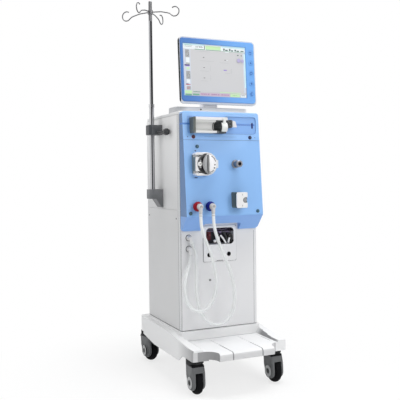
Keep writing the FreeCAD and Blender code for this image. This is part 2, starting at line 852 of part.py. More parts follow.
def front_fascia(shell):
    """The main fascia, open behind the pump, post, clamp and couplings."""
    low = fascia_leg_bottom - 10
    part = shell.common(box(-base_width, base_width, face_y(low) - 60, cabinet_rear, low,
                            fascia_split - seam / 2))
    ledge = fascia_split - seam / 2
    shelf = side_prism([(face_y(ledge) + 1, ledge - fascia_wall, 0), (face_y(ledge) + 1, ledge, 0),
                        (cabinet_front - seat_gap, ledge, 0),
                        (cabinet_front - seat_gap, ledge - fascia_wall, 0)],
                       -fascia_half_width + 1, fascia_half_width - 1)
    part = part.fuse(shelf)
    deep = 40
    holes = [(pump_x, pump_z, 30), (post_x, post_z, 14), (supply_x, coupling_z, 15),
             (return_x, coupling_z, 15)]
    for x, z, size in holes:
        part = part.cut(rod((x, face_y(z) - deep / 2, z), Y_AXIS, size, deep))
    return part.removeSplitter()


def syringe_fascia(shell):
    """The upper fascia with the shallow recess and the pusher's slot."""
    part = shell.common(box(-base_width, base_width, face_y(fascia_split) - 60, cabinet_rear,
                            fascia_split + seam / 2, fascia_top + 10))
    floor = fascia_split + seam / 2
    part = part.fuse(side_prism([(face_y(floor) + 1, floor, 0),
                                 (face_y(floor) + 1, floor + fascia_wall, 0),
                                 (cabinet_front - seat_gap, floor + fascia_wall, 0),
                                 (cabinet_front - seat_gap, floor, 0)],
                                -fascia_half_width + 1, fascia_half_width - 1))
    lip = 14.0
    outline = [(syringe_recess_left, syringe_recess_bottom, 8),
               (syringe_recess_right - lip, syringe_recess_bottom, 6),
               (syringe_recess_right, syringe_recess_bottom + lip, 6),
               (syringe_recess_right, syringe_recess_top, 8),
               (syringe_recess_left, syringe_recess_top, 8)]
    pocket = prism([(V(x, face_y(z), z), r) for x, z, r in outline],
                   V(0, syringe_recess_depth, 0))
    pocket = pocket.fuse(prism([(V(x, face_y(z, 20), z), r) for x, z, r in outline],
                               V(0, 20.01, 0)))
    part = part.cut(pocket)
    deep = face_y(slot_z) - 5
    part = part.cut(box(cradle_right - 10, slot_right, deep, deep + 20, slot_z - slot_height / 2,
                        slot_z + slot_height / 2))
    part = part.cut(plate_xz(slot_right - slot_end_width, slot_right, slot_z - 3 - slot_end_height / 2,
                             slot_z - 3 + slot_end_height / 2, deep, deep + 20,
                             slot_end_width / 2 - 0.2))
    for sign in (-1, 1):
        part = part.cut(rod((sign * pressure_port_x, face_y(pressure_port_z) - 5,
                             pressure_port_z), Y_AXIS, 8 + 2 * seat_gap, 20))
    return part.removeSplitter()


def syringe_cradle():
    """Barrel trough with an end wall, a hooded top rail and a narrow bottom shelf."""
    back_gap = seat_gap - syringe_recess_depth
    front = face_y(cradle_bottom) - cradle_depth
    block = plate_xz(cradle_left, cradle_right, cradle_bottom, cradle_top, front,
                     face_y(cradle_top) + 10, 3)
    block = before_face(block, back_gap)
    room_left = cradle_left + cradle_end
    centre_y = front + barrel_radius * 0.6
    trough = rod((room_left, centre_y, barrel_z), X_AXIS, 2 * barrel_radius,
                 cradle_right - room_left + 1)
    mouth = box(room_left, cradle_right + 1, front - 5, centre_y, barrel_z - barrel_radius,
                barrel_z + barrel_radius)
    under_rail = box(room_left, cradle_right + 1, front - 5, front + 8,
                     barrel_z, cradle_top - rail_lip)
    block = block.cut(trough).cut(mouth).cut(under_rail)
    notch = box(cradle_right - 42, cradle_right + 1, front - 1, centre_y + 4, cradle_bottom - 1,
                cradle_top - rail_lip)
    bore = rod((clamp_bar_x, front - 1, clamp_rod_z()), Y_AXIS,
               clamp_rod_diameter + 2 * pivot_gap, clamp_rod_length + 3)
    return block.cut(notch).cut(bore)


def clamp_rod_z():
    """Height of the barrel clamp's rod, in the cradle's top rail."""
    return cradle_top - clamp_rod_diameter / 2 - 5


def syringe_clamp():
    """Curved band that holds a barrel, on a rod that pulls out of the cradle."""
    front = face_y(cradle_bottom) - cradle_depth
    x0 = clamp_bar_x - clamp_bar_width / 2
    centre = (x0, front + 14, barrel_z - 3)
    band = tube(centre, X_AXIS, 48, 40, clamp_bar_width)
    band = band.common(box(x0 - 1, x0 + clamp_bar_width + 1, front - 30, front - seat_gap,
                           cradle_bottom, cradle_top))
    z = clamp_rod_z()
    link = plate_xz(clamp_bar_x - 6, clamp_bar_x + 6, barrel_z + 8, z + 5, front - 6.5,
                    front - seat_gap, 3)
    pull = rod((clamp_bar_x, front - 1, z), Y_AXIS, clamp_rod_diameter, clamp_rod_length)
    return fuse([band, link, pull])


def syringe_pusher():
    """Carriage with a driver head and thumb piece, on a stem through the slot."""
    rear = face_y(slot_z) + syringe_recess_depth + fascia_wall
    front = face_y(slot_z) - cradle_depth + 4
    z0 = slot_z - carriage_height / 2
    z1 = slot_z + carriage_height / 2
    seat = face_y(z0) - seat_gap - 0.5
    body = plate_xz(carriage_left, carriage_left + carriage_width, z0, z1, front, seat, 6)
    ring = tube((carriage_left + carriage_width / 2, front - 3, slot_z - 1), Y_AXIS, 17, 10, 4)
    right = carriage_left + carriage_width
    thumb = prism([(V(right - 1, front + 4, z0 + 5), 0), (V(right + thumb_width + 6, front + 4, z0 + 3), 2),
                   (V(right + thumb_width - 2, front + 4, z1 - 4), 5),
                   (V(right - 1, front + 4, z1 - 2), 0)], V(0, 18, 0))
    x = carriage_left + carriage_width / 2
    stem = box(x - 8, x + 8, seat - 2, rear + 6, slot_z - slot_height / 2 + slide_gap,
               slot_z + slot_height / 2 - slide_gap)
    nut = box(x - 12, x + 12, rear + slide_gap + 0.5, rear + 8, slot_z - 9, slot_z + 9)
    return fuse([body, ring, thumb, stem, nut])


def pressure_ports():
    """Two luer ports for the arterial and venous pressure lines."""
    ports = []
    for sign in (-1, 1):
        y = face_y(pressure_port_z)
        port = lathe([(2, -8), (4, -8), (4, 0), (pressure_port_diameter / 2, 0),
                      (pressure_port_diameter / 2, 3), (5, 5), (5, 7), (2, 7)],
                     (sign * pressure_port_x, y, pressure_port_z), V(0, -1, 0))
        rear = rod((sign * pressure_port_x, y, pressure_port_z), Y_AXIS, 8, 10)
        rear = rear.cut(rod((sign * pressure_port_x, y, pressure_port_z), Y_AXIS, 4, 10))
        ports.append(before_face(port).fuse(
            rear.cut(rod((sign * pressure_port_x, y - 1, pressure_port_z), Y_AXIS, 4, 20))))
    return ports


# Blood pump
def pump_front():
    """Y of the pump housing's front face."""
    return face_y(pump_z) - pump_housing_depth


def pump_housing():
    """Cast housing: square to the left, round to the right, with the tubing raceway."""
    front = pump_front()
    left = pump_x - pump_housing_left
    right = pump_x + pump_housing_radius
    low, high = pump_z - pump_housing_radius, pump_z + pump_housing_radius
    end = pump_housing_radius - 0.5
    corners = [(left, low, pump_housing_corner), (right, low, end), (right, high, end),
               (left, high, pump_housing_corner)]
    body = before_face(prism([(V(x, front, z), r) for x, z, r in corners], V(0, -front, 0)))
    body = edge_fillet(body, 2.5, lambda p: abs(p.y - front) < 0.01)
    floor = front + chamber_depth
    chamber = rod((pump_x, front - 5, pump_z), Y_AXIS, 2 * chamber_radius, chamber_depth + 5)
    body = body.cut(chamber)
    for sign in (-1, 1):
        z = pump_z + sign * tube_offset_z
        body = body.cut(box(left - 1, pump_x - 10, front - 1, front + 22, z - tube_channel / 2,
                            z + tube_channel / 2))
    shaft = rod((pump_x, floor - 1, pump_z), Y_AXIS, 16 + 2 * pivot_gap, 60)
    body = body.cut(shaft)
    latch = plate_xz(pump_x + pump_housing_radius - 2, pump_x + pump_housing_radius + 7, pump_z - 17,
                     pump_z + 17, front + 6, front + 20, 3)
    return body.fuse(latch.cut(rod((pump_x, front, pump_z), Y_AXIS, 2 * chamber_radius + 4, 30)))


def bevelled_disc(radius, x, y):
    """A disc of the rotor cover's thickness with a bevelled front rim."""
    return lathe([(0, 0), (radius, 0), (radius, cover_thickness - 2.5),
                  (radius - 2.5, cover_thickness), (0, cover_thickness)],
                 (x, y, pump_z), V(0, -1, 0))


def pump_rotor():
    """Rotor with a base plate, guide pins, a lens-shaped cover and the drive shaft."""
    front = pump_front()
    floor = front + chamber_depth
    plate_y = floor - 1.5
    plate = rod((pump_x, plate_y, pump_z), V(0, -1, 0), 2 * (chamber_radius - 3), rotor_plate)
    hub = rod((pump_x, plate_y, pump_z), V(0, -1, 0), 24, chamber_depth + 3)
    shaft = rod((pump_x, floor - 3, pump_z), Y_AXIS, 16, 45)
    cover_y = front - 3
    cover = bevelled_disc(cover_radius, pump_x, cover_y)
    cover = cover.common(bevelled_disc(cover_cut_radius, pump_x + cover_cut_shift, cover_y))
    rotor = fuse([plate, hub, shaft, cover])
    for x in roller_places():
        pin = rod((x, plate_y - 1, pump_z), V(0, -1, 0), 6, chamber_depth - 3)
        rotor = rotor.fuse(pin)
        for sign in (-1, 1):
            guide = rod((x * 0.92 + pump_x * 0.08, plate_y - 1, pump_z + sign * guide_offset),
                        V(0, -1, 0), guide_diameter, chamber_depth - 6)
            rotor = rotor.fuse(guide)
    bed = box(pump_x - handle_width / 2 - 0.5, pump_x + handle_width / 2 + 0.5,
              cover_y - cover_thickness - 1, cover_y - cover_thickness + 3,
              pump_z - handle_length / 2 - 0.5, pump_z + handle_length / 2 + 0.5)
    pin = rod((pump_x - 9, handle_pivot()[0], handle_pivot()[1]), X_AXIS, 3, 18)
    ears = []
    for sign in (-1, 1):
        x = pump_x + sign * 6.5
        ears.append(box(x - 2, x + 2, handle_pivot()[0] - 3.5, cover_y - 2,
                        handle_pivot()[1] - 3.5, handle_pivot()[1] + 3.5))
    return fuse([rotor.cut(bed), pin] + ears)


def roller_places():
    """X of the two tube rollers, either side of the rotor's axis."""
    return [pump_x - roller_orbit, pump_x + roller_orbit]


def pump_roller(x):
    """A tube roller on its pin."""
    y = pump_front() + chamber_depth - 1.5 - rotor_plate - seat_gap
    turned = lathe([(3 + pivot_gap, 0), (roller_diameter / 2 - 1, 0), (roller_diameter / 2, 1),
                    (roller_diameter / 2, roller_height - 1),
                    (roller_diameter / 2 - 1, roller_height), (3 + pivot_gap, roller_height)],
                   (x, y, pump_z), V(0, -1, 0))
    return turned


def handle_pivot():
    """Y and Z of the crank handle's pin, at the lower end of the cover."""
    return (handle_back() - handle_end / 2, pump_z - (handle_length - handle_end) / 2)


def handle_back():
    """Y of the crank handle's back, in the cover's slot."""
    return pump_front() - 3 - cover_thickness + 2.5


def rotor_handle():
    """Crank handle that lies across the rotor cover and folds out."""
    y0 = handle_back()
    half = handle_length / 2
    round_end = handle_end / 2 - 0.01
    bar = side_prism([(y0, pump_z - half, round_end), (y0, pump_z + half, 1),
                      (y0 - handle_end, pump_z + half, 3), (y0 - handle_height, pump_z, 40),
                      (y0 - handle_end, pump_z - half, round_end)],
                     pump_x - handle_width / 2, pump_x + handle_width / 2)
    y, z = handle_pivot()
    return bar.cut(rod((pump_x - 20, y, z), X_AXIS, 3 + 2 * pivot_gap, 40))


# Post, clamp and couplings
def holder_post():
    """Turned steel post with a socket bore for the dialyser holder arm."""
    y = face_y(post_z)
    radius = post_diameter / 2
    bore = post_bore / 2
    profile = [(0, -8), (6.5, -8), (6.5, 0), (radius + 3.5, 0), (radius + 3.5, 5), (radius, 7),
               (radius, post_reach - 8), (radius - 1.5, post_reach - 7),
               (radius - 1.5, post_reach - 5), (radius, post_reach - 4), (radius, post_reach - 1),
               (radius - 1, post_reach), (bore, post_reach), (bore, post_reach - post_bore_depth),
               (0, post_reach - post_bore_depth)]
    post = lathe(profile, (post_x, y, post_z), V(0, -1, 0))
    tail = rod((post_x, y - 1, post_z), Y_AXIS, 13, 12)
    return before_face(post).fuse(tail)


def detector_front():
    """Y of the detector housing's front, behind its door."""
    return face_y((detector_bottom + detector_top) / 2) - detector_depth


def clamp_housing():
    """Air detector and clamp body with a tube channel behind its door."""
    front = detector_front()
    body = plate_xz(detector_left, detector_right, detector_bottom, detector_top, front, 0,
                    detector_corner)
    body = before_face(body)
    body = body.cut(box(tube_slot_x, tube_slot_x + tube_slot, front - 1, front + 12,
                        detector_bottom - 1, detector_top + 1))
    hinge_x = detector_left + 5
    body = body.cut(box(detector_left - 1, hinge_x + 4.2, front - 1, front + 5.8,
                        detector_bottom - 1, detector_top + 1))
    x, z = button_place()
    body = body.cut(rod((x, front - 1, z), Y_AXIS, button_diameter + 2 * slide_gap, 9))
    for z0 in (detector_bottom, detector_top - 6):
        lug = rod((hinge_x, front, z0), Z_AXIS, 8, 6)
        lug = lug.fuse(box(hinge_x - 4, hinge_x + 4, front, front + 9, z0, z0 + 6))
        body = body.fuse(lug)
    pin = rod((hinge_x, front, detector_bottom), Z_AXIS, door_pin, detector_top - detector_bottom)
    return body.fuse(pin)


def button_place():
    """X and Z of the door button, in the door's notch."""
    return (detector_right - button_diameter / 2 - 2, (detector_bottom + detector_top) / 2)


def clamp_door():
    """Door with a half-round notch at its free edge, on the housing's pin."""
    front = detector_front()
    hinge_x = detector_left + 5
    z0 = detector_bottom + 6 + slide_gap
    z1 = detector_top - 6 - slide_gap
    plate = plate_xz(detector_left, detector_right, detector_bottom, detector_top,
                     front - door_thickness, front - seat_gap, detector_corner)
    plate = edge_fillet(plate, 1.5, lambda p: abs(p.y - front + door_thickness) < 0.01)
    plate = plate.cut(box(detector_left - 1, hinge_x + 5, front - 5, front + 1,
                          detector_bottom - 1, z0))
    plate = plate.cut(box(detector_left - 1, hinge_x + 5, front - 5, front + 1, z1,
                          detector_top + 1))
    barrel = rod((hinge_x, front, z0), Z_AXIS, 7.4, z1 - z0)
    x, z = button_place()
    notch = rod((x, front - 20, z), Y_AXIS, button_diameter + 4, 30)
    notch = notch.fuse(box(x, detector_right + 5, front - 20, front + 5, z - button_diameter / 2 - 2,
                           z + button_diameter / 2 + 2))
    door = plate.fuse(barrel).cut(notch)
    return door.cut(rod((hinge_x, front, z0 - 5), Z_AXIS, door_pin + 2 * pivot_gap, z1 - z0 + 10))


def clamp_button():
    """Round button in the housing's front that frees the door."""
    front = detector_front()
    x, z = button_place()
    return lathe([(0, 0), (button_diameter / 2, 0), (button_diameter / 2, 8.5),
                  (button_diameter / 2 - 2, 10.5), (0, 11)],
                 (x, front + 5, z), V(0, -1, 0))


def coupling_collar(x):
    """Ball-shaped release collar of one quick coupling."""
    y = face_y(coupling_z) - 4
    radius = collar_diameter / 2
    bore = nipple_diameter / 2 + slide_gap / 2
    return lathe([(bore, 0), (radius - 7, 0), (radius - 2, 4), (radius, 11), (radius, 17),
                  (radius - 2.5, 24), (radius - 7, collar_length), (bore, collar_length)],
                 (x, y, coupling_z), V(0, -1, 0))


def coupling_elbow(x):
    """Nipple, shoulder and downward barb of one quick coupling."""
    y = face_y(coupling_z)
    reach = elbow_reach
    end = reach + barb_diameter / 2
    nipple = rod((x, y + 10, coupling_z), V(0, -1, 0), nipple_diameter, 10)
    body = rod((x, y, coupling_z), V(0, -1, 0), nipple_diameter, end)
    body = edge_fillet(body, 4, lambda p: abs(p.y - y + end) < 0.01)
    start = 4 + collar_length + collar_travel + slide_gap
    shoulder = rod((x, y - start, coupling_z), V(0, -1, 0), shoulder_diameter, 4)
    stub = rod((x, y + 12, coupling_z), V(0, -1, 0), 14, 13)
    drop = rod((x, y - reach, coupling_z), Z_AXIS * -1, barb_diameter + 2, elbow_drop - 8)
    barb = rod((x, y - reach, coupling_z), Z_AXIS * -1, barb_diameter, elbow_drop)
    elbow = fuse([before_face(body), shoulder, stub, drop, barb])
    bore = rod((x, y - reach, coupling_z), Z_AXIS * -1, 8, elbow_drop + 1)
    return elbow.cut(bore)


def hose_ports():
    """Two rinse ports with elbows, on the lower front panel."""
    ports = []
    for z, turn in ((rinse_upper_z, rinse_upper_turn), (rinse_lower_z, 0.0)):
        y = cabinet_front
        flange = lathe([(0, -8), (8, -8), (8, seat_gap), (rinse_flange / 2, seat_gap),
                        (rinse_flange / 2, 3), (9, 5), (8, 5), (8, rinse_reach + 5),
                        (5, rinse_reach + 7), (0, rinse_reach + 7)],
                       (rinse_port_x, y, z), V(0, -1, 0))
        drop = rod((rinse_port_x, y - rinse_reach, z), rinse_direction(turn), barb_diameter,
                   rinse_drop)
        ports.append(flange.fuse(drop))
    return ports


def coupling_end(x):
    """Where a coupling's barb ends, pointing down."""
    return V(x, face_y(coupling_z) - elbow_reach, coupling_z - elbow_drop)


def rinse_direction(turn):
    """The way a rinse port's barb points."""
    angle = math.radians(turn)
    return V(math.sin(angle), 0, -math.cos(angle))


def hose_route(x, middle, port_z, turn):
    """A hose's route points from its coupling to its rinse port."""
    start = coupling_end(x)
    port = V(rinse_port_x, cabinet_front - rinse_reach, port_z)
    end = port + rinse_direction(turn) * rinse_drop
    route = [start, start - Z_AXIS * hose_first_run]
    drop = (start.z - tray_floor) / hose_drop
    route += [start + V(x, y, z * drop) for x, y, z in middle]
    return route + [end + rinse_direction(turn) * hose_last_run, end]


def hose(points, diameter):
    """A soft tube of straight runs joined by tangent arcs along a route."""
    edges = []
    radii = []
    start = points[0]
    for i in range(1, len(points) - 1):
        before = points[i - 1] - points[i]
        after = points[i + 1] - points[i]
        shorter = min(before.Length, after.Length)
        half_turn = (math.pi - before.getAngle(after)) / 2
        radius = 0.45 * shorter / math.tan(half_turn)
        radii.append(radius)
        before.normalize()
        after.normalize()
        cut = 0.45 * shorter
        first = points[i] + before * cut
        last = points[i] + after * cut
        inward = (before + after).normalize()
        middle = points[i] + inward * (radius / math.cos(half_turn) - radius)
        edges.append(Part.LineSegment(start, first).toShape())
        edges.append(Part.Arc(first, middle, last).toShape())
        start = last
    edges.append(Part.LineSegment(start, points[-1]).toShape())
    path = Part.Wire(edges)
    axis = (points[1] - points[0]).normalize()
    section = Part.Wire(Part.makeCircle(diameter / 2, points[0], axis))
    tube_solid = path.makePipeShell([section], True, False)
    expected = math.pi * diameter ** 2 / 4 * path.Length
    print("hose length %.0f, radii %s, volume over expected %.4f" % (
        path.Length, [round(r) for r in radii], tube_solid.Volume / expected))
    return tube_solid


# Monitor
def swivel_plate():
    """Rounded plate on the top cover that carries the monitor stand."""
    z0 = cabinet_top + cover_height + seat_gap
    z1 = z0 + plate_height
    plate = plate_xy(-plate_half_width, plate_half_width, plate_front, plate_rear, z0, z1,
                     plate_corner)
    plate = edge_fillet(plate, 4, lambda p: abs(p.z - z1) < 0.01)
    return plate.cut(rod((0, neck_y, z1 - 8), Z_AXIS, 30 + 2 * pivot_gap, 20))


def monitor_neck():
    """Swivelling column that tapers up to the tilt hinge."""
    z0 = cabinet_top + cover_height + 2 * seat_gap + plate_height
    pivot = rod((0, neck_y, z0 - 7), Z_AXIS, 30, 8)
    flange = lathe([(0, 0), (neck_base_diameter / 2, 0), (neck_base_diameter / 2, 2),
                    (neck_base_diameter / 2 - 10, 7), (0, 9)], (0, neck_y, z0), Z_AXIS)
    foot = rounded_wire([(V(sx * (neck_width / 2 + 6), neck_y + sy * (neck_depth / 2 + 8), z0 + 4), 12)
                         for sx, sy in ((-1, -1), (1, -1), (1, 1), (-1, 1))])
    head = rounded_wire([(V(sx * 26, neck_y + sy * 13, hinge_z), 8)
                         for sx, sy in ((-1, -1), (1, -1), (1, 1), (-1, 1))])
    column = Part.makeLoft([foot, head], True, True)
    barrel = rod((-26, neck_y, hinge_z), X_AXIS, hinge_barrel, 52)
    pin = rod((-hinge_length / 2, neck_y, hinge_z), X_AXIS, hinge_pin, hinge_length)
    return fuse([pivot, flange, column, barrel, pin])


def on_monitor(shape):
    """Lean a monitor piece back from upright about the screen's centre."""
    leaned = shape.rotated(V(0, 0, 0), X_AXIS, -screen_lean)
    leaned.translate(V(0, screen_y, screen_z))
    return leaned


def monitor_bezel():
    """Blue front frame round the screen, pocketed for the keys."""
    frame = plate_xz(-bezel_left, bezel_right, -bezel_down, bezel_up, 0, bezel_thickness,
                     bezel_corner)
    frame = edge_fillet(frame, 2.0, lambda p: p.y < 0.01)
    window = plate_xz(-screen_width / 2, screen_width / 2, -screen_height / 2,
                      screen_height / 2, -1, bezel_thickness + 1, 1.5)
    bevel = plate_xz(-screen_width / 2 - 1.2, screen_width / 2 + 1.2, -screen_height / 2 - 1.2,
                     screen_height / 2 + 1.2, -1, 1.2, 2)
    frame = frame.cut(window).cut(bevel)
    room = plate_xz(-screen_width / 2 - 5, screen_width / 2 + 4, -screen_height / 2 - 5,
                    screen_height / 2 + 5, 3.2, bezel_thickness + 1, 2)
    frame = frame.cut(room)
    for z in key_places():
        frame = frame.cut(rod((key_x, -1, z), Y_AXIS, key_size + 2 * key_gap, 4))
        frame = frame.cut(rod((key_x, 2, z), Y_AXIS, 12, bezel_thickness))
    return on_monitor(frame)


def key_places():
    """Heights of the five keys over the screen's centre."""
    return [key_top - i * key_pitch for i in range(5)]


def monitor_key(z):
    """One round key with its stem."""
    cap = rod((key_x, -0.2, z), Y_AXIS, key_size, 2.2)
    cap = edge_fillet(cap, 0.5, lambda p: p.y < 0)
    stem = rod((key_x, 1, z), Y_AXIS, 11, 9)
    return on_monitor(cap.fuse(stem))


def display_panel():
    """The liquid-crystal module behind the bezel's window."""
    return on_monitor(plate_xz(-screen_width / 2 - 4, screen_width / 2 + 3,
                               -screen_height / 2 - 4, screen_height / 2 + 4,
                               3.5, 3.5 + panel_module, 1))


def monitor_shell():
    """Rear housing with a trim lip, cooling slots and the two hinge ears."""
    x0, x1 = -bezel_left - trim_left, bezel_right + trim_right
    z0, z1 = -bezel_down - trim_down, bezel_up + trim_up
    front = 3.0
    back = front + shell_depth + 4
    lip = plate_xz(x0, x1, z0, z1, front, front + 12, bezel_corner + 4)
    shape = rounded_wire([(V(x, front + 11.9, z), bezel_corner + 2) for x, z in
                          ((x0 + 1, z0 + 1), (x1 - 1, z0 + 1), (x1 - 1, z1 - 1), (x0 + 1, z1 - 1))])
    rear = rounded_wire([(V(x, back, z), bezel_corner + 2) for x, z in
                         ((x0 + 16, z0 + 16), (x1 - 16, z0 + 16), (x1 - 16, z1 - 16),
                          (x0 + 16, z1 - 16))])
    tub = Part.makeLoft([shape, rear], True, True)
    body = lip.fuse(tub)
    seat = plate_xz(-bezel_left - seat_gap, bezel_right + seat_gap, -bezel_down - seat_gap,
                    bezel_up + seat_gap, front - 1, bezel_thickness + seat_gap, bezel_corner)
    hollow_a = rounded_wire([(V(x, bezel_thickness, z), bezel_corner) for x, z in
                             ((x0 + 8, z0 + 10), (x1 - 8, z0 + 10), (x1 - 8, z1 - 8),
                              (x0 + 8, z1 - 8))])
    hollow_b = rounded_wire([(V(x, back - shell_wall, z), bezel_corner) for x, z in
                             ((x0 + 20, z0 + 20), (x1 - 20, z0 + 20), (x1 - 20, z1 - 20),
                              (x0 + 20, z1 - 20))])
    body = body.cut(seat).cut(Part.makeLoft([hollow_a, hollow_b], True, True))
    for i in range(12):
        x = -66 + i * 14
        body = body.cut(plate_xz(x, x + 6, 70, 108, back - 8, back + 8, 2.9))
    body = on_monitor(body)
    ears = []
    rear_y = screen_y + back
    for sign in (-1, 1):
        a, b = sign * 30, sign * 42
        ear = side_prism([(rear_y - 6, hinge_z - 24, 0), (neck_y + 15, hinge_z - 15, 13),
                          (neck_y + 15, hinge_z + 15, 13), (rear_y - 6, hinge_z + 30, 0)],
                         min(a, b), max(a, b))
        ears.append(ear)
    mask = on_monitor(plate_xz(x0, x1, z0, z1, back - 1.5, back + 80, 4))
    ears = [ear.common(mask) for ear in ears]
    shell = fuse([body] + ears)
    return shell.cut(rod((-100, neck_y, hinge_z), X_AXIS, hinge_pin + 2 * pivot_gap, 200))


# Pole
def pole_brackets():
    """Upper clamp block and lower cup that hold the pole to the cabinet's side."""
    wall = -half_width - seat_gap
    x0 = pole_x - bracket_reach + 40
    upper = plate_xy(x0, wall, pole_y - bracket_width / 2, pole_y + bracket_width / 2,
                     upper_bracket_z - bracket_height / 2, upper_bracket_z + bracket_height / 2, 12)
    square = box(wall - 14, wall, pole_y - bracket_width / 2, pole_y + bracket_width / 2,
                 upper_bracket_z - bracket_height / 2, upper_bracket_z + bracket_height / 2)
    upper = upper.fuse(square).removeSplitter()
    upper = edge_fillet(upper, 3, lambda p: p.x < wall - 20
                        and abs(abs(p.z - upper_bracket_z) - bracket_height / 2) < 0.01)
    bore = rod((pole_x, pole_y, upper_bracket_z - 100), Z_AXIS, pole_diameter + 2 * seat_gap, 200)
    upper = upper.cut(bore)
    knob_z = upper_bracket_z - bracket_height / 2 + 7
    upper = upper.cut(rod((knob_x, pole_y - bracket_width / 2 - 1, knob_z), Y_AXIS,
                          10 + 2 * pivot_gap, 16))
    lower_top = lower_bracket_z + bracket_height / 2 - 1
    lower_bottom = lower_bracket_z - bracket_height / 2 + 1
    lower = plate_xy(x0, wall, pole_y - bracket_width / 2, pole_y + bracket_width / 2,
                     lower_bottom, lower_top, 12)
    lower = lower.fuse(box(wall - 14, wall, pole_y - bracket_width / 2,
                           pole_y + bracket_width / 2, lower_bottom, lower_top))
    gusset = prism([(V(wall, pole_y - bracket_width / 2, lower_bottom + 1), 0),
                    (V(wall - 34, pole_y - bracket_width / 2, lower_bottom + 1), 0),
                    (V(wall - 7, pole_y - bracket_width / 2, lower_bottom - gusset_height), 3),
                    (V(wall, pole_y - bracket_width / 2, lower_bottom - gusset_height), 0)],
                   V(0, bracket_width, 0))
    lower = lower.fuse(gusset).removeSplitter()
    cup = rod((pole_x, pole_y, pole_bottom - seat_gap), Z_AXIS, pole_diameter + 2 * seat_gap, 100)
    return [upper, lower.cut(cup)]


def pole_tube():
    """Outer steel tube with a collar at its upper end."""
    outer = tube((pole_x, pole_y, pole_bottom), Z_AXIS, pole_diameter,
                 inner_diameter + 2 * slide_gap, pole_step - pole_bottom)
    collar = tube((pole_x, pole_y, pole_step - 14), Z_AXIS, pole_diameter + 3,
                  inner_diameter + 2 * slide_gap, 14)
    return outer.fuse(collar)


def pole_extension():
    """Inner tube with a cap and four wire hooks."""
    pole = tube((pole_x, pole_y, inner_bottom), Z_AXIS, inner_diameter, inner_diameter - 3,
                pole_top - inner_bottom - 4)
    cap = lathe([(0, 0), (inner_diameter / 2, 0), (inner_diameter / 2, 4),
                 (inner_diameter / 2 - 2, 7), (0, 8)], (pole_x, pole_y, pole_top - 8), Z_AXIS)
    hub = rod((pole_x, pole_y, hook_hub_z - 9), Z_AXIS, inner_diameter + 7, 18)
    parts = [pole, cap, hub]
    for i in range(4):
        hook = hook_wire_shape()
        hook.Placement = FreeCAD.Placement(V(pole_x, pole_y, 0),
                                           FreeCAD.Rotation(Z_AXIS, hook_turn + 90 * i))
        parts.append(hook)
    return fuse(parts)


def hook_wire_shape():
    """One ram's-horn hook along +X: an arm that dips, a curl and a rising tip."""
    r = hook_curl
    centre = V(hook_reach - r, 0, hook_low + r)
    start = V(inner_diameter / 2 + 1, 0, hook_hub_z)
    knee = V(hook_reach - r - 62, 0, hook_hub_z - 2)
    slope_end = V(hook_reach - r - 22, 0, hook_low + 12)
    low = centre + V(-r * math.sin(math.radians(30)), 0, -r * math.cos(math.radians(30)))
    outer = centre + V(r, 0, 0)
    tip_angle = math.radians(118)
    tip = centre + V(r * math.cos(tip_angle), 0, r * math.sin(tip_angle))
    arc_middle = centre + V(r * math.cos(math.radians(40)), 0, r * math.sin(math.radians(40)))
    first = Part.LineSegment(start, knee - V(14, 0, 0)).toShape()
    bend = Part.BSplineCurve()
    bend.interpolate(Points=[knee - V(14, 0, 0), knee + V(14, 0, -5), slope_end, low],
                     Tangents=[V(1, 0, 0), V(1, 0, -0.45), V(1, 0, -0.6),
                               V(math.cos(math.radians(30)), 0, -math.sin(math.radians(30)))],
                     TangentFlags=[True, False, False, True])
    curl = Part.Arc(low, centre + V(r * math.cos(math.radians(-50)), 0,
                                    r * math.sin(math.radians(-50))), outer).toShape()
    over = Part.Arc(outer, arc_middle, tip).toShape()
    path = Part.Wire([first, bend.toShape(), curl, over])
    section = Part.Wire(Part.makeCircle(hook_wire / 2, start, X_AXIS))
    wire = path.makePipeShell([section], True, False)
    return wire.fuse(Part.makeSphere(hook_wire / 2 + 0.6, tip))


def clamp_knob():
    """Ribbed knob on a long stem whose screw clamps the pole."""
    z = upper_bracket_z - bracket_height / 2 + 7
    y = pole_y - bracket_width / 2
    screw = rod((knob_x, y + 12, z), V(0, -1, 0), 10, 14)
    neck = rod((knob_x, y - seat_gap, z), V(0, -1, 0), 20, knob_neck + 1)
    start = y - knob_neck
    radius = knob_diameter / 2
    stem = knob_stem / 2
    head = knob_length - knob_head
    grip = lathe([(0, 0), (10, 0), (10, 4), (stem, 8), (stem, head - 6), (radius - 3, head),
                  (radius, head + 4), (radius, knob_length - 5), (radius - 4, knob_length - 1),
                  (0, knob_length)], (knob_x, start, z), V(0, -1, 0))
    for i in range(6):
        angle = math.radians(60 * i)
        offset = radius + 2.5
        grip = grip.cut(rod((knob_x + offset * math.cos(angle), start - head + 7,
                             z + offset * math.sin(angle)), V(0, -1, 0), 8, knob_head + 12))
    return fuse([screw, neck, grip])


# Inner units and fasteners
def hydraulic_unit():
    """Fluid tray: manifold, heater, degassing chamber, balancing block and pumps."""
    z0 = cabinet_bottom + seam + sheet + seat_gap
    base = z0 + tray_sheet - 1
    left, right = -half_width + unit_side, half_width - unit_side
    front, rear = cabinet_front + unit_front, cabinet_rear - unit_rear
    third = (rear - front) / 3
    tray = box(left, right, front, rear, z0, z0 + tray_sheet)
    manifold = box(left + 10, left + 170, rear - third - 10, rear - 10, base,
                   base + manifold_height)
    heater = rod((right - 45, rear - 60, base), Z_AXIS, heater_diameter, heater_height)
    degasser = rod((right - 45, rear - 150, base), Z_AXIS, degasser_diameter, degasser_height)
    balance = box(left + 10, left + 120, front + 38, front + 148, base, base + balance_height)
    pieces = [tray, manifold, heater, degasser, balance]
    for x in (right - 108, right - 58):
        pieces.append(rod((x, front + 48, base), Z_AXIS, fluid_pump_diameter,
                          fluid_pump_height))
    return fuse(pieces)


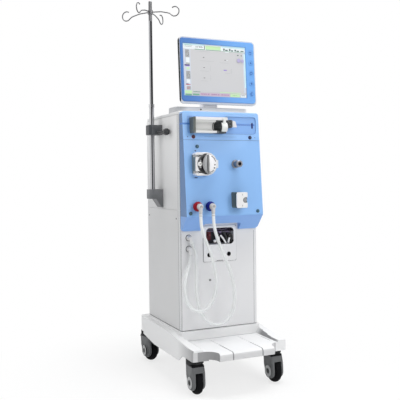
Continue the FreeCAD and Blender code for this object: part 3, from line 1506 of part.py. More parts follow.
def power_unit():
    """Power supply and control rack on the frame's shelf."""
    z0 = panel_split - frame_ring_height + sheet + seat_gap
    left = -half_width + unit_side + 10
    front, rear = cabinet_front + unit_front + 78, cabinet_rear - unit_rear + 20
    case = box(left, -left, front, rear, z0, z0 + power_height)
    pitch = -2 * left / fin_count
    fins = [box(left + (i + 0.35) * pitch, left + (i + 0.65) * pitch, front + 10, rear - 10,
                z0 + power_height - 1, z0 + power_height + fin_height) for i in range(fin_count)]
    return fuse([case] + fins)


def fixing_screws():
    """Domed fascia screws, panel screws and the front panel's lock."""
    screws = []
    low = fascia_front_bottom + 14
    places = ((pump_x - 26, pump_z + 75), (-fascia_half_width + 18.5, low),
              (fascia_half_width - 26.5, low + 1))
    radius = dome_diameter / 2
    for x, z in places:
        y = face_y(z)
        dome = lathe([(0, -6), (radius, -6), (radius, 2), (radius * 0.81, 5), (radius * 0.38, 7),
                      (0, 7.5)], (x, y, z), V(0, -1, 0))
        screws.append(before_face(dome))
    radius = screw_head / 2
    for y in (cabinet_front + 44, cabinet_rear - post_depth):
        for sign in (-1, 1):
            screws.append(lathe([(0, 0), (radius, 0), (radius, 1), (radius - 1, 2), (0, 2)],
                                (sign * half_width, y, panel_split - 38), V(sign, 0, 0)))
    radius = lock_diameter / 2
    screws.append(lathe([(0, 0), (radius, 0), (radius, 1.5), (radius - 1, 2.5), (0, 2.5)],
                        (bay_opening_left + 18, cabinet_front, bay_bottom - 81), V(0, -1, 0)))
    return screws


def build():
    """Write every node."""
    os.makedirs("parts", exist_ok=True)
    save("base_moulding", base_moulding())
    save("chassis_frame", chassis_frame())
    fork, wheel, pedal = caster_fork(), caster_wheel(), caster_pedal()
    names = ("front_left", "front_right", "rear_left", "rear_right")
    turns = (0.0, 0.0, rear_left_caster_turn, 0.0)
    for name, (x, y), turn in zip(names, caster_places(), turns):
        save("caster_fork_" + name, place_caster(fork, x, y, turn))
        save("caster_wheel_" + name, place_caster(wheel, x, y, turn))
        save("caster_pedal_" + name, place_caster(pedal, x, y, turn))
    save("lower_side_panels", side_panels(cabinet_bottom + seam, panel_split - seam / 2))
    save("upper_side_panels", side_panels(panel_split + seam / 2, cabinet_top - seam))
    save("rear_cover", rear_cover())
    save("water_fittings", water_fittings())
    save("top_cover", top_cover())
    save("front_panel", front_panel())
    save("connector_bay", connector_bay())
    save("bay_connectors", bay_connectors())
    shell = fascia_shell()
    save("front_fascia", front_fascia(shell))
    save("syringe_fascia", syringe_fascia(shell))
    save("syringe_cradle", syringe_cradle())
    save("syringe_clamp", syringe_clamp())
    save("syringe_pusher", syringe_pusher())
    save("pressure_ports", pressure_ports())
    save("pump_housing", pump_housing())
    save("pump_rotor", pump_rotor())
    for name, x in zip(("pump_roller_left", "pump_roller_right"), roller_places()):
        save(name, pump_roller(x))
    save("rotor_handle", rotor_handle())
    save("holder_post", holder_post())
    save("clamp_housing", clamp_housing())
    save("clamp_door", clamp_door())
    save("clamp_button", clamp_button())
    save("supply_collar", coupling_collar(supply_x))
    save("return_collar", coupling_collar(return_x))
    save("coupling_elbows", [coupling_elbow(supply_x), coupling_elbow(return_x)])
    save("hose_ports", hose_ports())
    save("supply_hose", hose(hose_route(supply_x, supply_middle, rinse_lower_z, 0.0),
                             hose_diameter))
    save("return_hose", hose(hose_route(return_x, return_middle, rinse_upper_z,
                                        rinse_upper_turn), hose_diameter))
    save("swivel_plate", swivel_plate())
    save("monitor_neck", monitor_neck())
    save("monitor_bezel", monitor_bezel())
    save("display_panel", display_panel())
    save("monitor_shell", monitor_shell())
    for i, z in enumerate(key_places()):
        save("monitor_key_%d" % (i + 1), monitor_key(z))
    save("pole_brackets", pole_brackets())
    save("pole_tube", pole_tube())
    save("pole_extension", pole_extension())
    save("clamp_knob", clamp_knob())
    save("hydraulic_unit", hydraulic_unit())
    save("power_unit", power_unit())
    save("fixing_screws", fixing_screws())


build()
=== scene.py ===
import logging
import math
from dataclasses import dataclass, field
from enum import Enum
from typing import ClassVar

import bpy
from mathutils import Matrix, Vector


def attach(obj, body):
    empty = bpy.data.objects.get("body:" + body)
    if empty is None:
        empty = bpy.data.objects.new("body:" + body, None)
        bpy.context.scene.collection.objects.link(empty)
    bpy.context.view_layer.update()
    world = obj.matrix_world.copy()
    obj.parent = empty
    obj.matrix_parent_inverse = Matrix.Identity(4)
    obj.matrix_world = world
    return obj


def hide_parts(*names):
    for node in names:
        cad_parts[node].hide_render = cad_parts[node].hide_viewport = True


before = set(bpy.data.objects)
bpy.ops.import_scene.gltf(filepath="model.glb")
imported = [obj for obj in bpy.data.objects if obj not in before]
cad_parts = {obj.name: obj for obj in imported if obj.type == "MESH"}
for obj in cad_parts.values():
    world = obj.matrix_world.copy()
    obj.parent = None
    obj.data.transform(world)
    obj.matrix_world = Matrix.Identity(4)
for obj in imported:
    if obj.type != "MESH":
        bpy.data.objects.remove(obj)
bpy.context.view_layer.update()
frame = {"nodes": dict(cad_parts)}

LOG = logging.getLogger("dialysis_machine")
MM = 0.001
Point = tuple[float, float, float]
Flat = tuple[float, float]
Colour = tuple[float, float, float]
Span = tuple[float | None, float | None]
Piece = bpy.types.Object
Socket = bpy.types.NodeSocket
Feed = Socket | float | tuple | Vector

# Sizes shared with the solids, in millimetres and degrees
FASCIA_TOP = 1165.0
FASCIA_FRONT_TOP = -125.0
FASCIA_SLOPE = 0.0874
CABINET_FRONT = -95.0
CABINET_REAR = 311.0
SCREEN_LEAN = 3.7
SCREEN_CENTRE = (0.0, -76.0, 1357.5)
PUMP_X, PUMP_Z = -95.0, 947.0
SUPPLY_X, RETURN_X = -138.0, -80.0
COUPLING_Z = 768.0
COUPLING_REACH = 46.0
PORT_X, PORT_Z = 136.0, 1063.5
RINSE_X, RINSE_Z = -147.0, 630.0

# Bounds and softness of coloured zones
ALL: Span = (None, None)
EVERYWHERE = 9000.0
SHARP = (0.01, 0.01, 0.01)

# Modelling
WELD = 0.000005
SMOOTH_BELOW = 35.0
ROUND_SMOOTH = 60.0


def face_y(z: float) -> float:
    """Y of the fascia's sloping front at a height."""
    return FASCIA_FRONT_TOP - (FASCIA_TOP - z) * FASCIA_SLOPE


def metres(point: Point) -> Vector:
    """A point given in millimetres, in metres."""
    return Vector(point) * MM


class Axis(Enum):
    """The way that a turned piece points."""

    X = Vector((1, 0, 0))
    Y = Vector((0, 1, 0))
    Z = Vector((0, 0, 1))
    FRONT = Vector((0, -1, 0))
    LEFT = Vector((-1, 0, 0))


# Materials
class Net:
    """A node tree that grows by short calls."""

    def __init__(self, tree: bpy.types.NodeTree) -> None:
        """Keep the tree that nodes are added to."""
        self.tree = tree

    def feed(self, node: bpy.types.Node, feeds: dict[str | int, Feed]) -> None:
        """Link or set some inputs of a node.

        Args:
            node: the node.
            feeds: an input's name or number, to the socket or plain value that it gets.
        """
        for key, value in feeds.items():
            if isinstance(value, Socket):
                self.tree.links.new(value, node.inputs[key])
            else:
                node.inputs[key].default_value = value

    def add(self, kind: str, feeds: dict[str | int, Feed] | None = None,
            **settings: object) -> bpy.types.Node:
        """Add a shader node.

        Args:
            kind: its type, without the usual prefix.
            feeds: what its inputs get.
            **settings: its own properties, set first.

        Returns:
            The node.
        """
        node = self.tree.nodes.new("ShaderNode" + kind)
        for key, value in settings.items():
            setattr(node, key, value)
        self.feed(node, feeds or {})
        return node

    def math(self, operation: str, *values: Feed, clamp: bool = False) -> Socket:
        """The result of a sum on numbers."""
        return self.add("Math", dict(enumerate(values)), operation=operation,
                        use_clamp=clamp).outputs[0]

    def vector(self, operation: str, *values: Feed) -> Socket:
        """The result of a sum on vectors."""
        return self.add("VectorMath", dict(enumerate(values)), operation=operation).outputs[0]

    def mixed(self, share: Feed, below: Feed, above: Feed) -> Socket:
        """A colour laid over another by a share."""
        return self.add("Mix", {0: share, 6: below, 7: above}, data_type="RGBA").outputs[2]

    def ramp(self, value: Socket, start: float, end: float, low: float = 0.0,
             high: float = 1.0, way: str = "LINEAR") -> Socket:
        """Spread what lies between start and end from low to high, held past both."""
        feeds = {"Value": value, "From Min": start, "From Max": end, "To Min": low,
                 "To Max": high}
        return self.add("MapRange", feeds, interpolation_type=way).outputs["Result"]

    def station(self, place: Socket, axis: str, start: float, end: float) -> Socket:
        """Nought to one, smoothly, between two stations on an axis in millimetres."""
        part = self.add("SeparateXYZ", {0: place}).outputs[axis]
        return self.ramp(part, start * MM, end * MM, way="SMOOTHSTEP")


class Effects:
    """Shader node groups that several finishes share."""

    SURFACE: ClassVar[dict[str, str]] = {"Colour": "Color", "Roughness": "Float",
                                         "Normal": "Vector"}
    WORN_EDGE = (0.53, 0.62)
    WORN_COLOUR = (0.95, 0.96, 0.97, 1)
    SHINE_SPREAD = 0.8
    GRAIN_HEIGHT = 0.0002
    SCRATCH_HEIGHT = 0.0001

    @classmethod
    def get(cls, name: str) -> bpy.types.NodeTree:
        """A group by its name, built the first time that it is asked for."""
        return bpy.data.node_groups.get(name) or getattr(cls, name)(name)

    @staticmethod
    def opened(name: str, ins: dict[str, str | float],
               outs: dict[str, str]) -> tuple[Net, bpy.types.Node, bpy.types.Node]:
        """Open a new group with named sockets.

        Args:
            name: the group's name.
            ins: an input's name to its kind, or to its default where it is a number.
            outs: an output's name to its kind.

        Returns:
            The group's net, its input node and its output node.
        """
        tree = bpy.data.node_groups.new(name, "ShaderNodeTree")
        for key, kind in ins.items():
            number = isinstance(kind, float)
            socket = tree.interface.new_socket(
                key, in_out="INPUT", socket_type="NodeSocket" + ("Float" if number else kind))
            if number:
                socket.default_value = kind
        for key, kind in outs.items():
            tree.interface.new_socket(key, in_out="OUTPUT", socket_type="NodeSocket" + kind)
        return (Net(tree), tree.nodes.new("NodeGroupInput"),
                tree.nodes.new("NodeGroupOutput"))

    @classmethod
    def moulded_surface(cls, name: str) -> bpy.types.NodeTree:
        """Slow colour variation, a fine grain and light worn edges.

        Args:
            name: the group's name.

        Returns:
            The group.
        """
        net, start, end = cls.opened(
            name, {"Vector": "Vector", "Colour": "Color", "Mottle": 0.05, "Mottle Scale": 8.0,
                   "Grain": 0.1, "Grain Scale": 900.0, "Wear": 0.1, "Roughness": 0.4},
            cls.SURFACE)
        given = start.outputs
        slow = net.add("TexNoise", {"Vector": given["Vector"], "Scale": given["Mottle Scale"],
                                    "Detail": 4.0}).outputs["Fac"]
        spread = net.math("MULTIPLY", net.math("SUBTRACT", slow, 0.5), given["Mottle"])
        shade = net.add("HueSaturation", {"Color": given["Colour"],
                                          "Value": net.math("ADD", spread, 1.0)})
        edge = net.ramp(net.add("NewGeometry").outputs["Pointiness"], *cls.WORN_EDGE)
        worn = net.math("MULTIPLY", net.math("MULTIPLY", edge, slow), given["Wear"],
                        clamp=True)
        fine = net.add("TexNoise", {"Vector": given["Vector"], "Scale": given["Grain Scale"],
                                    "Detail": 2.0})
        bump = net.add("Bump", {"Distance": cls.GRAIN_HEIGHT, "Strength": given["Grain"],
                                "Height": fine.outputs["Fac"]})
        net.feed(end, {
            "Colour": net.mixed(worn, shade.outputs["Color"], cls.WORN_COLOUR),
            "Roughness": net.math("MULTIPLY_ADD", spread, cls.SHINE_SPREAD,
                                  given["Roughness"]),
            "Normal": bump.outputs["Normal"]})
        return net.tree

    @classmethod
    def drawn_metal(cls, name: str) -> bpy.types.NodeTree:
        """Long fine scratches along one axis for turned and drawn metal.

        Args:
            name: the group's name.

        Returns:
            The group.
        """
        net, start, end = cls.opened(
            name, {"Vector": "Vector", "Stretch": "Vector", "Colour": "Color", "Depth": 0.1,
                   "Roughness": 0.3}, cls.SURFACE)
        given = start.outputs
        stretched = net.vector("MULTIPLY", given["Vector"], given["Stretch"])
        noise = net.add("TexNoise", {"Vector": stretched, "Scale": 1.0, "Detail": 5.0})
        tone = net.ramp(noise.outputs["Fac"], 0.3, 0.7, 0.95, 1.04)
        shade = net.add("HueSaturation", {"Color": given["Colour"], "Value": tone})
        bump = net.add("Bump", {"Distance": cls.SCRATCH_HEIGHT, "Strength": given["Depth"],
                                "Height": noise.outputs["Fac"]})
        net.feed(end, {"Colour": shade.outputs["Color"],
                       "Roughness": net.math("MULTIPLY", tone, given["Roughness"]),
                       "Normal": bump.outputs["Normal"]})
        return net.tree

    @classmethod
    def zone_mask(cls, name: str) -> bpy.types.NodeTree:
        """One inside a box between two corners, nought outside it, soft by axis.

        Args:
            name: the group's name.

        Returns:
            The group.
        """
        net, start, end = cls.opened(
            name, dict.fromkeys(("Vector", "Low", "High", "Soft"), "Vector"),
            {"Mask": "Float"})
        given = start.outputs
        depths = [net.vector("DIVIDE", net.vector("SUBTRACT", given[a], given[b]),
                             given["Soft"])
                  for a, b in (("Vector", "Low"), ("High", "Vector"))]
        parts = net.add("SeparateXYZ", {0: net.vector("MINIMUM", *depths)}).outputs
        least = net.math("MINIMUM", net.math("MINIMUM", parts["X"], parts["Y"]), parts["Z"])
        net.feed(end, {"Mask": net.math("MULTIPLY", least, 1.0, clamp=True)})
        return net.tree


@dataclass(frozen=True)
class Zone:
    """A part of a piece with another colour, between bounds in millimetres: a colour of its
    own, or painted shade or a painted reflection.

    None is no bound. The colour comes in over the depth that soft gives for each axis.
    """

    colour: Colour
    x: Span = ALL
    y: Span = ALL
    z: Span = ALL
    soft: Point = SHARP

    def corner(self, side: int) -> Vector:
        """The low corner (0) or the high one (1), in metres."""
        far = (-EVERYWHERE, EVERYWHERE)[side]
        return metres([far if s[side] is None else s[side] for s in (self.x, self.y, self.z)])


@dataclass(frozen=True)
class Fade:
    """A slow change to another colour along one axis, in millimetres: painted light or shade,
    lighter or darker towards one end.
    """

    axis: str
    start: float
    end: float
    colour: Colour


@dataclass(frozen=True)
class Finish:
    """A moulded, painted or rubber surface."""

    effect: ClassVar[str] = "moulded_surface"
    name: str
    colour: Colour
    roughness: float = 0.42
    mottle: float = 0.06
    mottle_scale: float = 7.0
    grain: float = 0.12
    grain_scale: float = 900.0
    wear: float = 0.15
    coat: float = 0.0
    specular: float = 0.3
    metallic: float = 0.0
    glow: float = 0.0
    zones: tuple[Zone, ...] = ()
    fade: Fade | None = None
    lean: float = 0.0

    def values(self) -> dict[str, Feed]:
        """What the effect gets for the whole surface."""
        return {"Mottle": self.mottle, "Mottle Scale": self.mottle_scale,
                "Grain": self.grain, "Grain Scale": self.grain_scale, "Wear": self.wear}

    def material(self) -> bpy.types.Material:
        """Make the finish as a material, once.

        Returns:
            The material.
        """
        name = "look_" + self.name
        found = bpy.data.materials.get(name)
        if found:
            return found
        material = bpy.data.materials.new(name)
        material.use_nodes = True
        net = Net(material.node_tree)
        shader = net.tree.nodes["Principled BSDF"]
        place = net.add("TexCoord").outputs["Object"]
        group = net.add("Group", self.values() | {
            "Roughness": self.roughness, "Vector": place,
            "Colour": self.zoned(net, place)}, node_tree=Effects.get(self.effect))
        net.feed(shader, {"Metallic": self.metallic, "Coat Weight": self.coat,
                          "Specular IOR Level": self.specular,
                          "Base Color": group.outputs["Colour"],
                          "Roughness": group.outputs["Roughness"],
                          "Normal": group.outputs["Normal"]})
        if self.glow:
            net.feed(shader, {"Emission Color": group.outputs["Colour"],
                              "Emission Strength": self.glow})
        self.extras(net, shader, place)
        return material

    def extras(self, net: Net, shader: bpy.types.Node, place: Socket) -> None:
        """Nothing more on a plain surface."""

    def zoned(self, net: Net, place: Socket) -> Feed:
        """Lay the fade and each zone's colour over the base colour.

        Args:
            net: the material's nodes.
            place: the Object coordinates.

        Returns:
            The colour's socket, or the base colour where the surface has no other.
        """
        colour = (*self.colour, 1)
        if self.lean:
            place = net.add("Mapping", {
                "Vector": place, "Location": metres(SCREEN_CENTRE),
                "Rotation": (math.radians(-self.lean), 0, 0)},
                vector_type="TEXTURE").outputs["Vector"]
        if self.fade:
            share = net.station(place, self.fade.axis, self.fade.start, self.fade.end)
            colour = net.mixed(share, colour, (*self.fade.colour, 1))
        for zone in self.zones:
            mask = net.add("Group", {"Vector": place, "Low": zone.corner(0),
                                     "High": zone.corner(1), "Soft": metres(zone.soft)},
                           node_tree=Effects.get("zone_mask"))
            colour = net.mixed(mask.outputs["Mask"], colour, (*zone.colour, 1))
        return colour


@dataclass(frozen=True)
class Metal(Finish):
    """Drawn, turned or plated metal with scratches along one way."""

    effect: ClassVar[str] = "drawn_metal"
    stretch: Point = (400.0, 400.0, 14.0)
    depth: float = 0.15
    metallic: float = 1.0

    def values(self) -> dict[str, Feed]:
        """What the effect gets for the whole surface."""
        return {"Stretch": self.stretch, "Depth": self.depth}


@dataclass(frozen=True)
class Tubing(Finish):
    """Milky tubing that is clearer in its lower length."""

    clear_below: float = 560.0
    solid_above: float = 690.0
    clearest: float = 0.55

    def extras(self, net: Net, shader: bpy.types.Node, place: Socket) -> None:
        """Make the tubing clearer towards its loops."""
        along = net.station(place, "Z", self.clear_below, self.solid_above)
        net.feed(shader, {"Alpha": net.ramp(along, 0.0, 1.0, self.clearest)})


def tray_wall_shade(colour: Colour) -> tuple[Zone, ...]:
    """Painted shade on the right inner wall of the tray, which leans outward, in steps up its
    height.

    Args:
        colour: the painted shade's colour.

    Returns:
        One zone for each step.
    """
    foot_x, floor_z, lean, step, height = 172, 185.5, 0.75, 6, 60
    return tuple(
        Zone(colour, x=(foot_x + lean * rise, foot_x + 0.6 + lean * (rise + step)),
             y=(-330, -90), z=(floor_z + rise, floor_z + step + rise), soft=(0.01, 60, 0.01))
        for rise in range(0, height, step))


class Finishes:
    """Every finish on the machine."""

    # The base's zones are painted shade: darker on the tongue's front face, in both scoops and
    # beside the left one, along the base's left side, in the three grooves and on the tray's
    # right inner wall.
    base_white = Finish("base_white", (0.84, 0.842, 0.845), 0.4, grain=0.2, wear=0.0, zones=(
        Zone((0.66, 0.66, 0.665), y=(None, -349.6), z=(None, 178)),
        Zone((0.33, 0.33, 0.335), x=(-198, -125.9), y=(-351.2, -291), z=(None, 184.4)),
        Zone((0.38, 0.38, 0.385), x=(None, -215.5), y=(-800, -130), soft=(0.01, 160, 0.01)),
        Zone((0.64, 0.64, 0.645), x=(-221, -198.1), y=(-293, -289), z=(None, 184.4)),
        Zone((0.60, 0.60, 0.61), x=(127.2, 184), y=(-351, -293), z=(None, 184.3)),
        Zone((0.30, 0.30, 0.31), x=(-68.2, -63.8), y=(None, -215), z=(None, 184.4)),
        Zone((0.30, 0.30, 0.31), x=(67.8, 72.2), y=(None, -235), z=(None, 184.4)),
        Zone((0.45, 0.45, 0.46), x=(159.8, 164.2), y=(None, -170), z=(None, 184.6)))
        + tray_wall_shade((0.24, 0.24, 0.245)))
    frame = Finish("frame_paint", (0.74, 0.75, 0.76), 0.36, wear=0.1)
    # The panel paint lightens towards the top: painted light.
    panel = Finish("panel_paint", (0.66, 0.662, 0.665), 0.4, mottle=0.04, grain=0.3,
                   grain_scale=500.0, wear=0.05, fade=Fade("Z", 640, 1140, (0.93, 0.93, 0.93)))
    front_panel = Finish("front_panel_paint", (0.775, 0.775, 0.785), 0.36, mottle=0.05,
                         grain=0.3, grain_scale=500.0, wear=0.05)
    lid = Finish("lid_white", (0.84, 0.845, 0.85), 0.35, grain=0.2, wear=0.05)
    # The fascia's left side face and the inside of the pusher's slot are painted darker:
    # painted shade. Below 724.6 mm and over the syringe recess the blue is deeper.
    fascia = Finish("fascia_blue", (0.262, 0.49, 0.865), 0.38, mottle=0.08, mottle_scale=3.0,
                    grain=0.18, grain_scale=700.0, wear=0.0, coat=0.08, zones=(
                        Zone((0.12, 0.23, 0.45), x=(None, -183.2)),
                        Zone((0.225, 0.41, 0.79), z=(None, 724.6)),
                        Zone((0.195, 0.39, 0.77), x=(-161, 166), z=(1080, 1151)),
                        Zone((0.07, 0.21, 0.60), x=(None, 164), y=(-142, None),
                             z=(1115, 1123))))
    # The bay's recess and its two sockets' holes are painted near-black: painted shade.
    insert = Finish("insert_white", (0.80, 0.80, 0.81), 0.4, zones=(
        Zone((0.018, 0.018, 0.026), x=(-65, 70), y=(-97.4, 0), z=(595, 668)),
        Zone((0.012, 0.012, 0.016), x=(-61, -41), y=(-97.4, 0), z=(540, 561)),
        Zone((0.012, 0.012, 0.016), x=(35, 55), y=(-97.4, 0), z=(540, 561))))
    connector = Finish("connector_moulding", (0.022, 0.022, 0.03), 0.35, zones=(
        Zone((0.10, 0.008, 0.016), x=(None, -10)),
        Zone((0.14, 0.11, 0.21), x=(0, None), y=(-66, -30))))
    cradle = Finish("cradle_moulding", (0.76, 0.76, 0.75), 0.35, zones=(
        Zone((0.84, 0.84, 0.86), z=(1134, None)),
        Zone((0.05, 0.055, 0.055), x=(-42, None), z=(None, 1133)),
        Zone((0.075, 0.09, 0.08), x=(None, -139.5))))
    band = Finish("band_purple", (0.13, 0.10, 0.19), 0.35)
    clamp = Finish("clamp_white", (0.78, 0.80, 0.78), 0.3, coat=0.2)
    pusher = Finish("pusher_moulding", (0.045, 0.048, 0.05), 0.35, zones=(
        Zone((0.76, 0.76, 0.78), x=(38, None)),))
    # The housing's left side face is painted dark teal-grey: painted shade.
    pump = Finish("pump_moulding", (0.80, 0.80, 0.81), 0.24, coat=0.4, wear=0.05, zones=(
        Zone((0.16, 0.20, 0.20), x=(None, -147.6)),))
    rotor = Metal("rotor_metal", (0.36, 0.36, 0.37), 0.34, stretch=(60.0, 60.0, 60.0),
                  depth=0.02)
    # The left facet is a grey, shaded copy of the white cover that darkens towards its left
    # edge: painted shade.
    facet_painted_shade = Finish("facet_painted_shade", (0.44, 0.45, 0.46), 0.24, coat=0.3, fade=Fade(
        "X", -104, -128, (0.10, 0.11, 0.11)))
    facet_white = Finish("facet_white", (0.93, 0.92, 0.935), 0.24, coat=0.3)
    handle = Finish("handle_grey", (0.11, 0.115, 0.12), 0.3, coat=0.2)
    roller = Finish("roller_white", (0.82, 0.82, 0.80), 0.3, coat=0.3)
    steel = Metal("post_steel", (0.25, 0.25, 0.27), 0.3, stretch=(700.0, 40.0, 700.0),
                  depth=0.05)
    rear_steel = Metal("rear_steel", (0.50, 0.51, 0.53), 0.3, stretch=(300.0, 40.0, 300.0),
                       depth=0.05)
    # Dark and mid-grey stripes down the pole and its extension are painted reflections; the
    # extension is mid grey above 1601 mm.
    chrome = Metal("pole_chrome", (0.50, 0.505, 0.52), 0.28, stretch=(30.0, 30.0, 6.0),
                   depth=0.0, zones=(
                       Zone((0.02, 0.02, 0.022), x=(-231.2, -226.6), y=(118, 148)),
                       Zone((0.14, 0.14, 0.145), x=(-217.5, -210), y=(118, 148))))
    thin_chrome = Metal("hook_chrome", (0.34, 0.345, 0.36), 0.4, stretch=(30.0, 30.0, 6.0),
                        depth=0.0, zones=(
                            Zone((0.02, 0.02, 0.022), x=(-228.6, -221.5), y=(118, 148),
                                 z=(None, 1600)),
                            Zone((0.16, 0.16, 0.165), x=(-221.5, -210), y=(118, 148),
                                 z=(None, 1600)),
                            Zone((0.16, 0.16, 0.165), z=(1601, None))))
    detector = Finish("detector_dark", (0.05, 0.075, 0.06), 0.4)
    door = Finish("door_white", (0.86, 0.86, 0.86), 0.34, coat=0.1)
    button = Finish("button_grey", (0.30, 0.31, 0.32), 0.35)
    red = Finish("collar_red", (0.27, 0.001, 0.010), 0.45, wear=0.0, specular=0.15)
    blue = Finish("collar_blue", (0.002, 0.008, 0.19), 0.45, wear=0.0, specular=0.15)
    elbow = Finish("elbow_grey", (0.62, 0.61, 0.62), 0.35)
    port = Finish("rinse_port_grey", (0.74, 0.74, 0.75), 0.35)
    # Dark grey for joints, a lead and the painted shade rings round the rinse ports.
    gasket = Finish("dark_joint_and_shade_grey", (0.045, 0.045, 0.05), 0.45)
    # The slot's lips are a deeper blue than the fascia: painted shade inside the slot.
    lip = Finish("slot_lip_blue", (0.09, 0.25, 0.66), 0.45)
    seam = Finish("seam_blue", (0.09, 0.19, 0.42), 0.4)
    port_core = Finish("port_core", (0.06, 0.0, 0.008), 0.4, zones=(
        Zone((0.0, 0.004, 0.05), x=(0, None)),))
    port_red = Finish("port_ring_red", (0.30, 0.005, 0.02), 0.35)
    port_blue = Finish("port_ring_blue", (0.004, 0.012, 0.13), 0.35)
    hose = Tubing("hose_milky", (0.87, 0.89, 0.89), 0.3, mottle=0.03, mottle_scale=12.0,
                  grain=0.03, wear=0.0, coat=0.2)
    # The bezel lightens from left to right: painted light.
    bezel = Finish("bezel_blue", (0.06, 0.185, 0.50), 0.36, mottle=0.04, grain=0.15,
                   grain_scale=800.0, wear=0.0, specular=0.2, fade=Fade(
                       "X", -175, 150, (0.155, 0.39, 0.82)))
    shell = Finish("shell_grey", (0.030, 0.034, 0.040), 0.55, specular=0.08, wear=0.0,
                   lean=SCREEN_LEAN, zones=(
                       Zone((0.66, 0.68, 0.72), x=(-167.9, None), y=(None, 3.7)),
                       Zone((0.66, 0.68, 0.72), y=(None, 13.0), z=(None, -138.2))))
    # Neck and plate glow a little: painted light where the monitor shades them. The plate is
    # darker towards its left end.
    neck = Finish("neck_silver", (0.84, 0.85, 0.90), 0.34, glow=0.2)
    plate = Finish("plate_silver", (0.82, 0.835, 0.87), 0.34, glow=0.16, zones=(
        Zone((0.50, 0.51, 0.53), x=(None, -118), soft=(40, 0.01, 0.01)),))
    key = Finish("key_blue", (0.135, 0.345, 0.76), 0.4, specular=0.2)
    key_mark = Finish("key_mark", (0.012, 0.05, 0.24), 0.5, specular=0.1)
    glass = Finish("screen_ground", (0.52, 0.52, 0.53), 0.3, mottle=0.02, grain=0.0,
                   wear=0.0, specular=0.2, glow=0.1)
    bracket = Finish("bracket_dark", (0.055, 0.06, 0.068), 0.42, wear=0.3)
    knob = Finish("knob_black", (0.05, 0.051, 0.054), 0.45)
    hood = Finish("caster_grey", (0.15, 0.153, 0.157), 0.5, wear=0.1, specular=0.08, zones=(
        Zone((0.004, 0.004, 0.005), z=(117.0, None)),))
    hub_ring = Finish("hub_ring", (0.46, 0.465, 0.47), 0.4)
    tyre = Finish("tyre_black", (0.006, 0.006, 0.007), 0.65, grain=0.35, wear=0.0,
                  specular=0.05)
    pedal = Finish("pedal_grey", (0.10, 0.105, 0.11), 0.42)
    black = Finish("black_moulding", (0.012, 0.013, 0.014), 0.4)
    brass = Metal("fitting_brass", (0.66, 0.50, 0.22), 0.3, depth=0.05)
    unit = Finish("unit_grey", (0.30, 0.31, 0.33), 0.5)
    # The plated domes on the fascia are painted dark teal: a painted reflection of the blue
    # fascia.
    screw = Finish("screw_plating", (0.16, 0.165, 0.17), 0.22, coat=1.0, zones=(
        Zone((0.008, 0.07, 0.11), y=(None, -112)),))


# Modelling moves
def clear_selection() -> None:
    """Deselect everything, leaving edit mode first."""
    if bpy.context.mode != "OBJECT":
        bpy.ops.object.mode_set(mode="OBJECT")
    bpy.ops.object.select_all(action="DESELECT")


def choose(piece: Piece) -> None:
    """Make one piece the only one selected, and active.

    Args:
        piece: the piece.
    """
    clear_selection()
    piece.select_set(True)
    bpy.context.view_layer.objects.active = piece


def edit(piece: Piece) -> None:
    """Open one piece in edit mode with all of it selected.

    Args:
        piece: the piece.
    """
    choose(piece)
    bpy.ops.object.mode_set(mode="EDIT")
    bpy.ops.mesh.select_all(action="SELECT")


def put_down(piece: Piece) -> Piece:
    """Move a piece's place into its mesh.

    Args:
        piece: the piece, where it has been set.

    Returns:
        The piece, at the origin.
    """
    choose(piece)
    bpy.ops.object.transform_apply(location=True, rotation=True, scale=True)
    return piece


def bevel(piece: Piece, width: float, segments: int = 2) -> Piece:
    """Round a piece's sharp edges with an applied modifier.

    Args:
        piece: the piece.
        width: the width of the rounding in millimetres, or nought for none.
        segments: how many faces it has across.

    Returns:
        The piece.
    """
    if width:
        choose(piece)
        modifier = piece.modifiers.new("edges", "BEVEL")
        modifier.width = width * MM
        modifier.segments = segments
        modifier.limit_method = "ANGLE"
        modifier.angle_limit = math.radians(SMOOTH_BELOW)
        bpy.ops.object.modifier_apply(modifier=modifier.name)
    return piece


def paint(piece: Piece, finish: Finish) -> None:
    """Give a piece one finish and no other."""
    piece.data.materials.clear()
    piece.data.materials.append(finish.material())


def joined(name: str, pieces: list[Piece]) -> Piece:
    """Several meshes as one piece.

    Args:
        name: the piece's name.
        pieces: the meshes.

    Returns:
        The piece.
    """
    choose(pieces[0])
    if len(pieces) > 1:
        for piece in pieces:
            piece.select_set(True)
        bpy.ops.object.join()
    pieces[0].name = name
    return pieces[0]


def fit(name: str, pieces: list[Piece], finish: Finish, body: str = "machine",
        angle: float = SMOOTH_BELOW) -> None:
    """Join meshes, smooth the piece, give it its finish and set it on its body.

    Args:
        name: the piece's name.
        pieces: its meshes, already in place.
        finish: its finish.
        body: the body that it moves with.
        angle: edges flatter than this are shaded smooth, in degrees.
    """
    piece = joined(name, pieces)
    choose(piece)
    bpy.ops.object.shade_smooth_by_angle(angle=math.radians(angle))
    paint(piece, finish)
    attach(piece, body)
    LOG.info("fitted %s in %s on %s", name, finish.name, body)


def block(name: str, low: Point, high: Point, round_by: float = 1.0,
          segments: int = 2) -> Piece:
    """A bevelled block.

    Args:
        name: the piece's name.
        low: one corner in millimetres.
        high: the corner across from it.
        round_by: the width of its rounded edges.
        segments: how many faces a rounded edge has across.

    Returns:
        The mesh, in place.
    """
    clear_selection()
    centre = [(a + b) / 2 * MM for a, b in zip(low, high)]
    bpy.ops.mesh.primitive_cube_add(size=1, location=centre)
    piece = bpy.context.object
    piece.name = name
    piece.scale = [abs(b - a) * MM for a, b in zip(low, high)]
    return bevel(put_down(piece), round_by, segments)


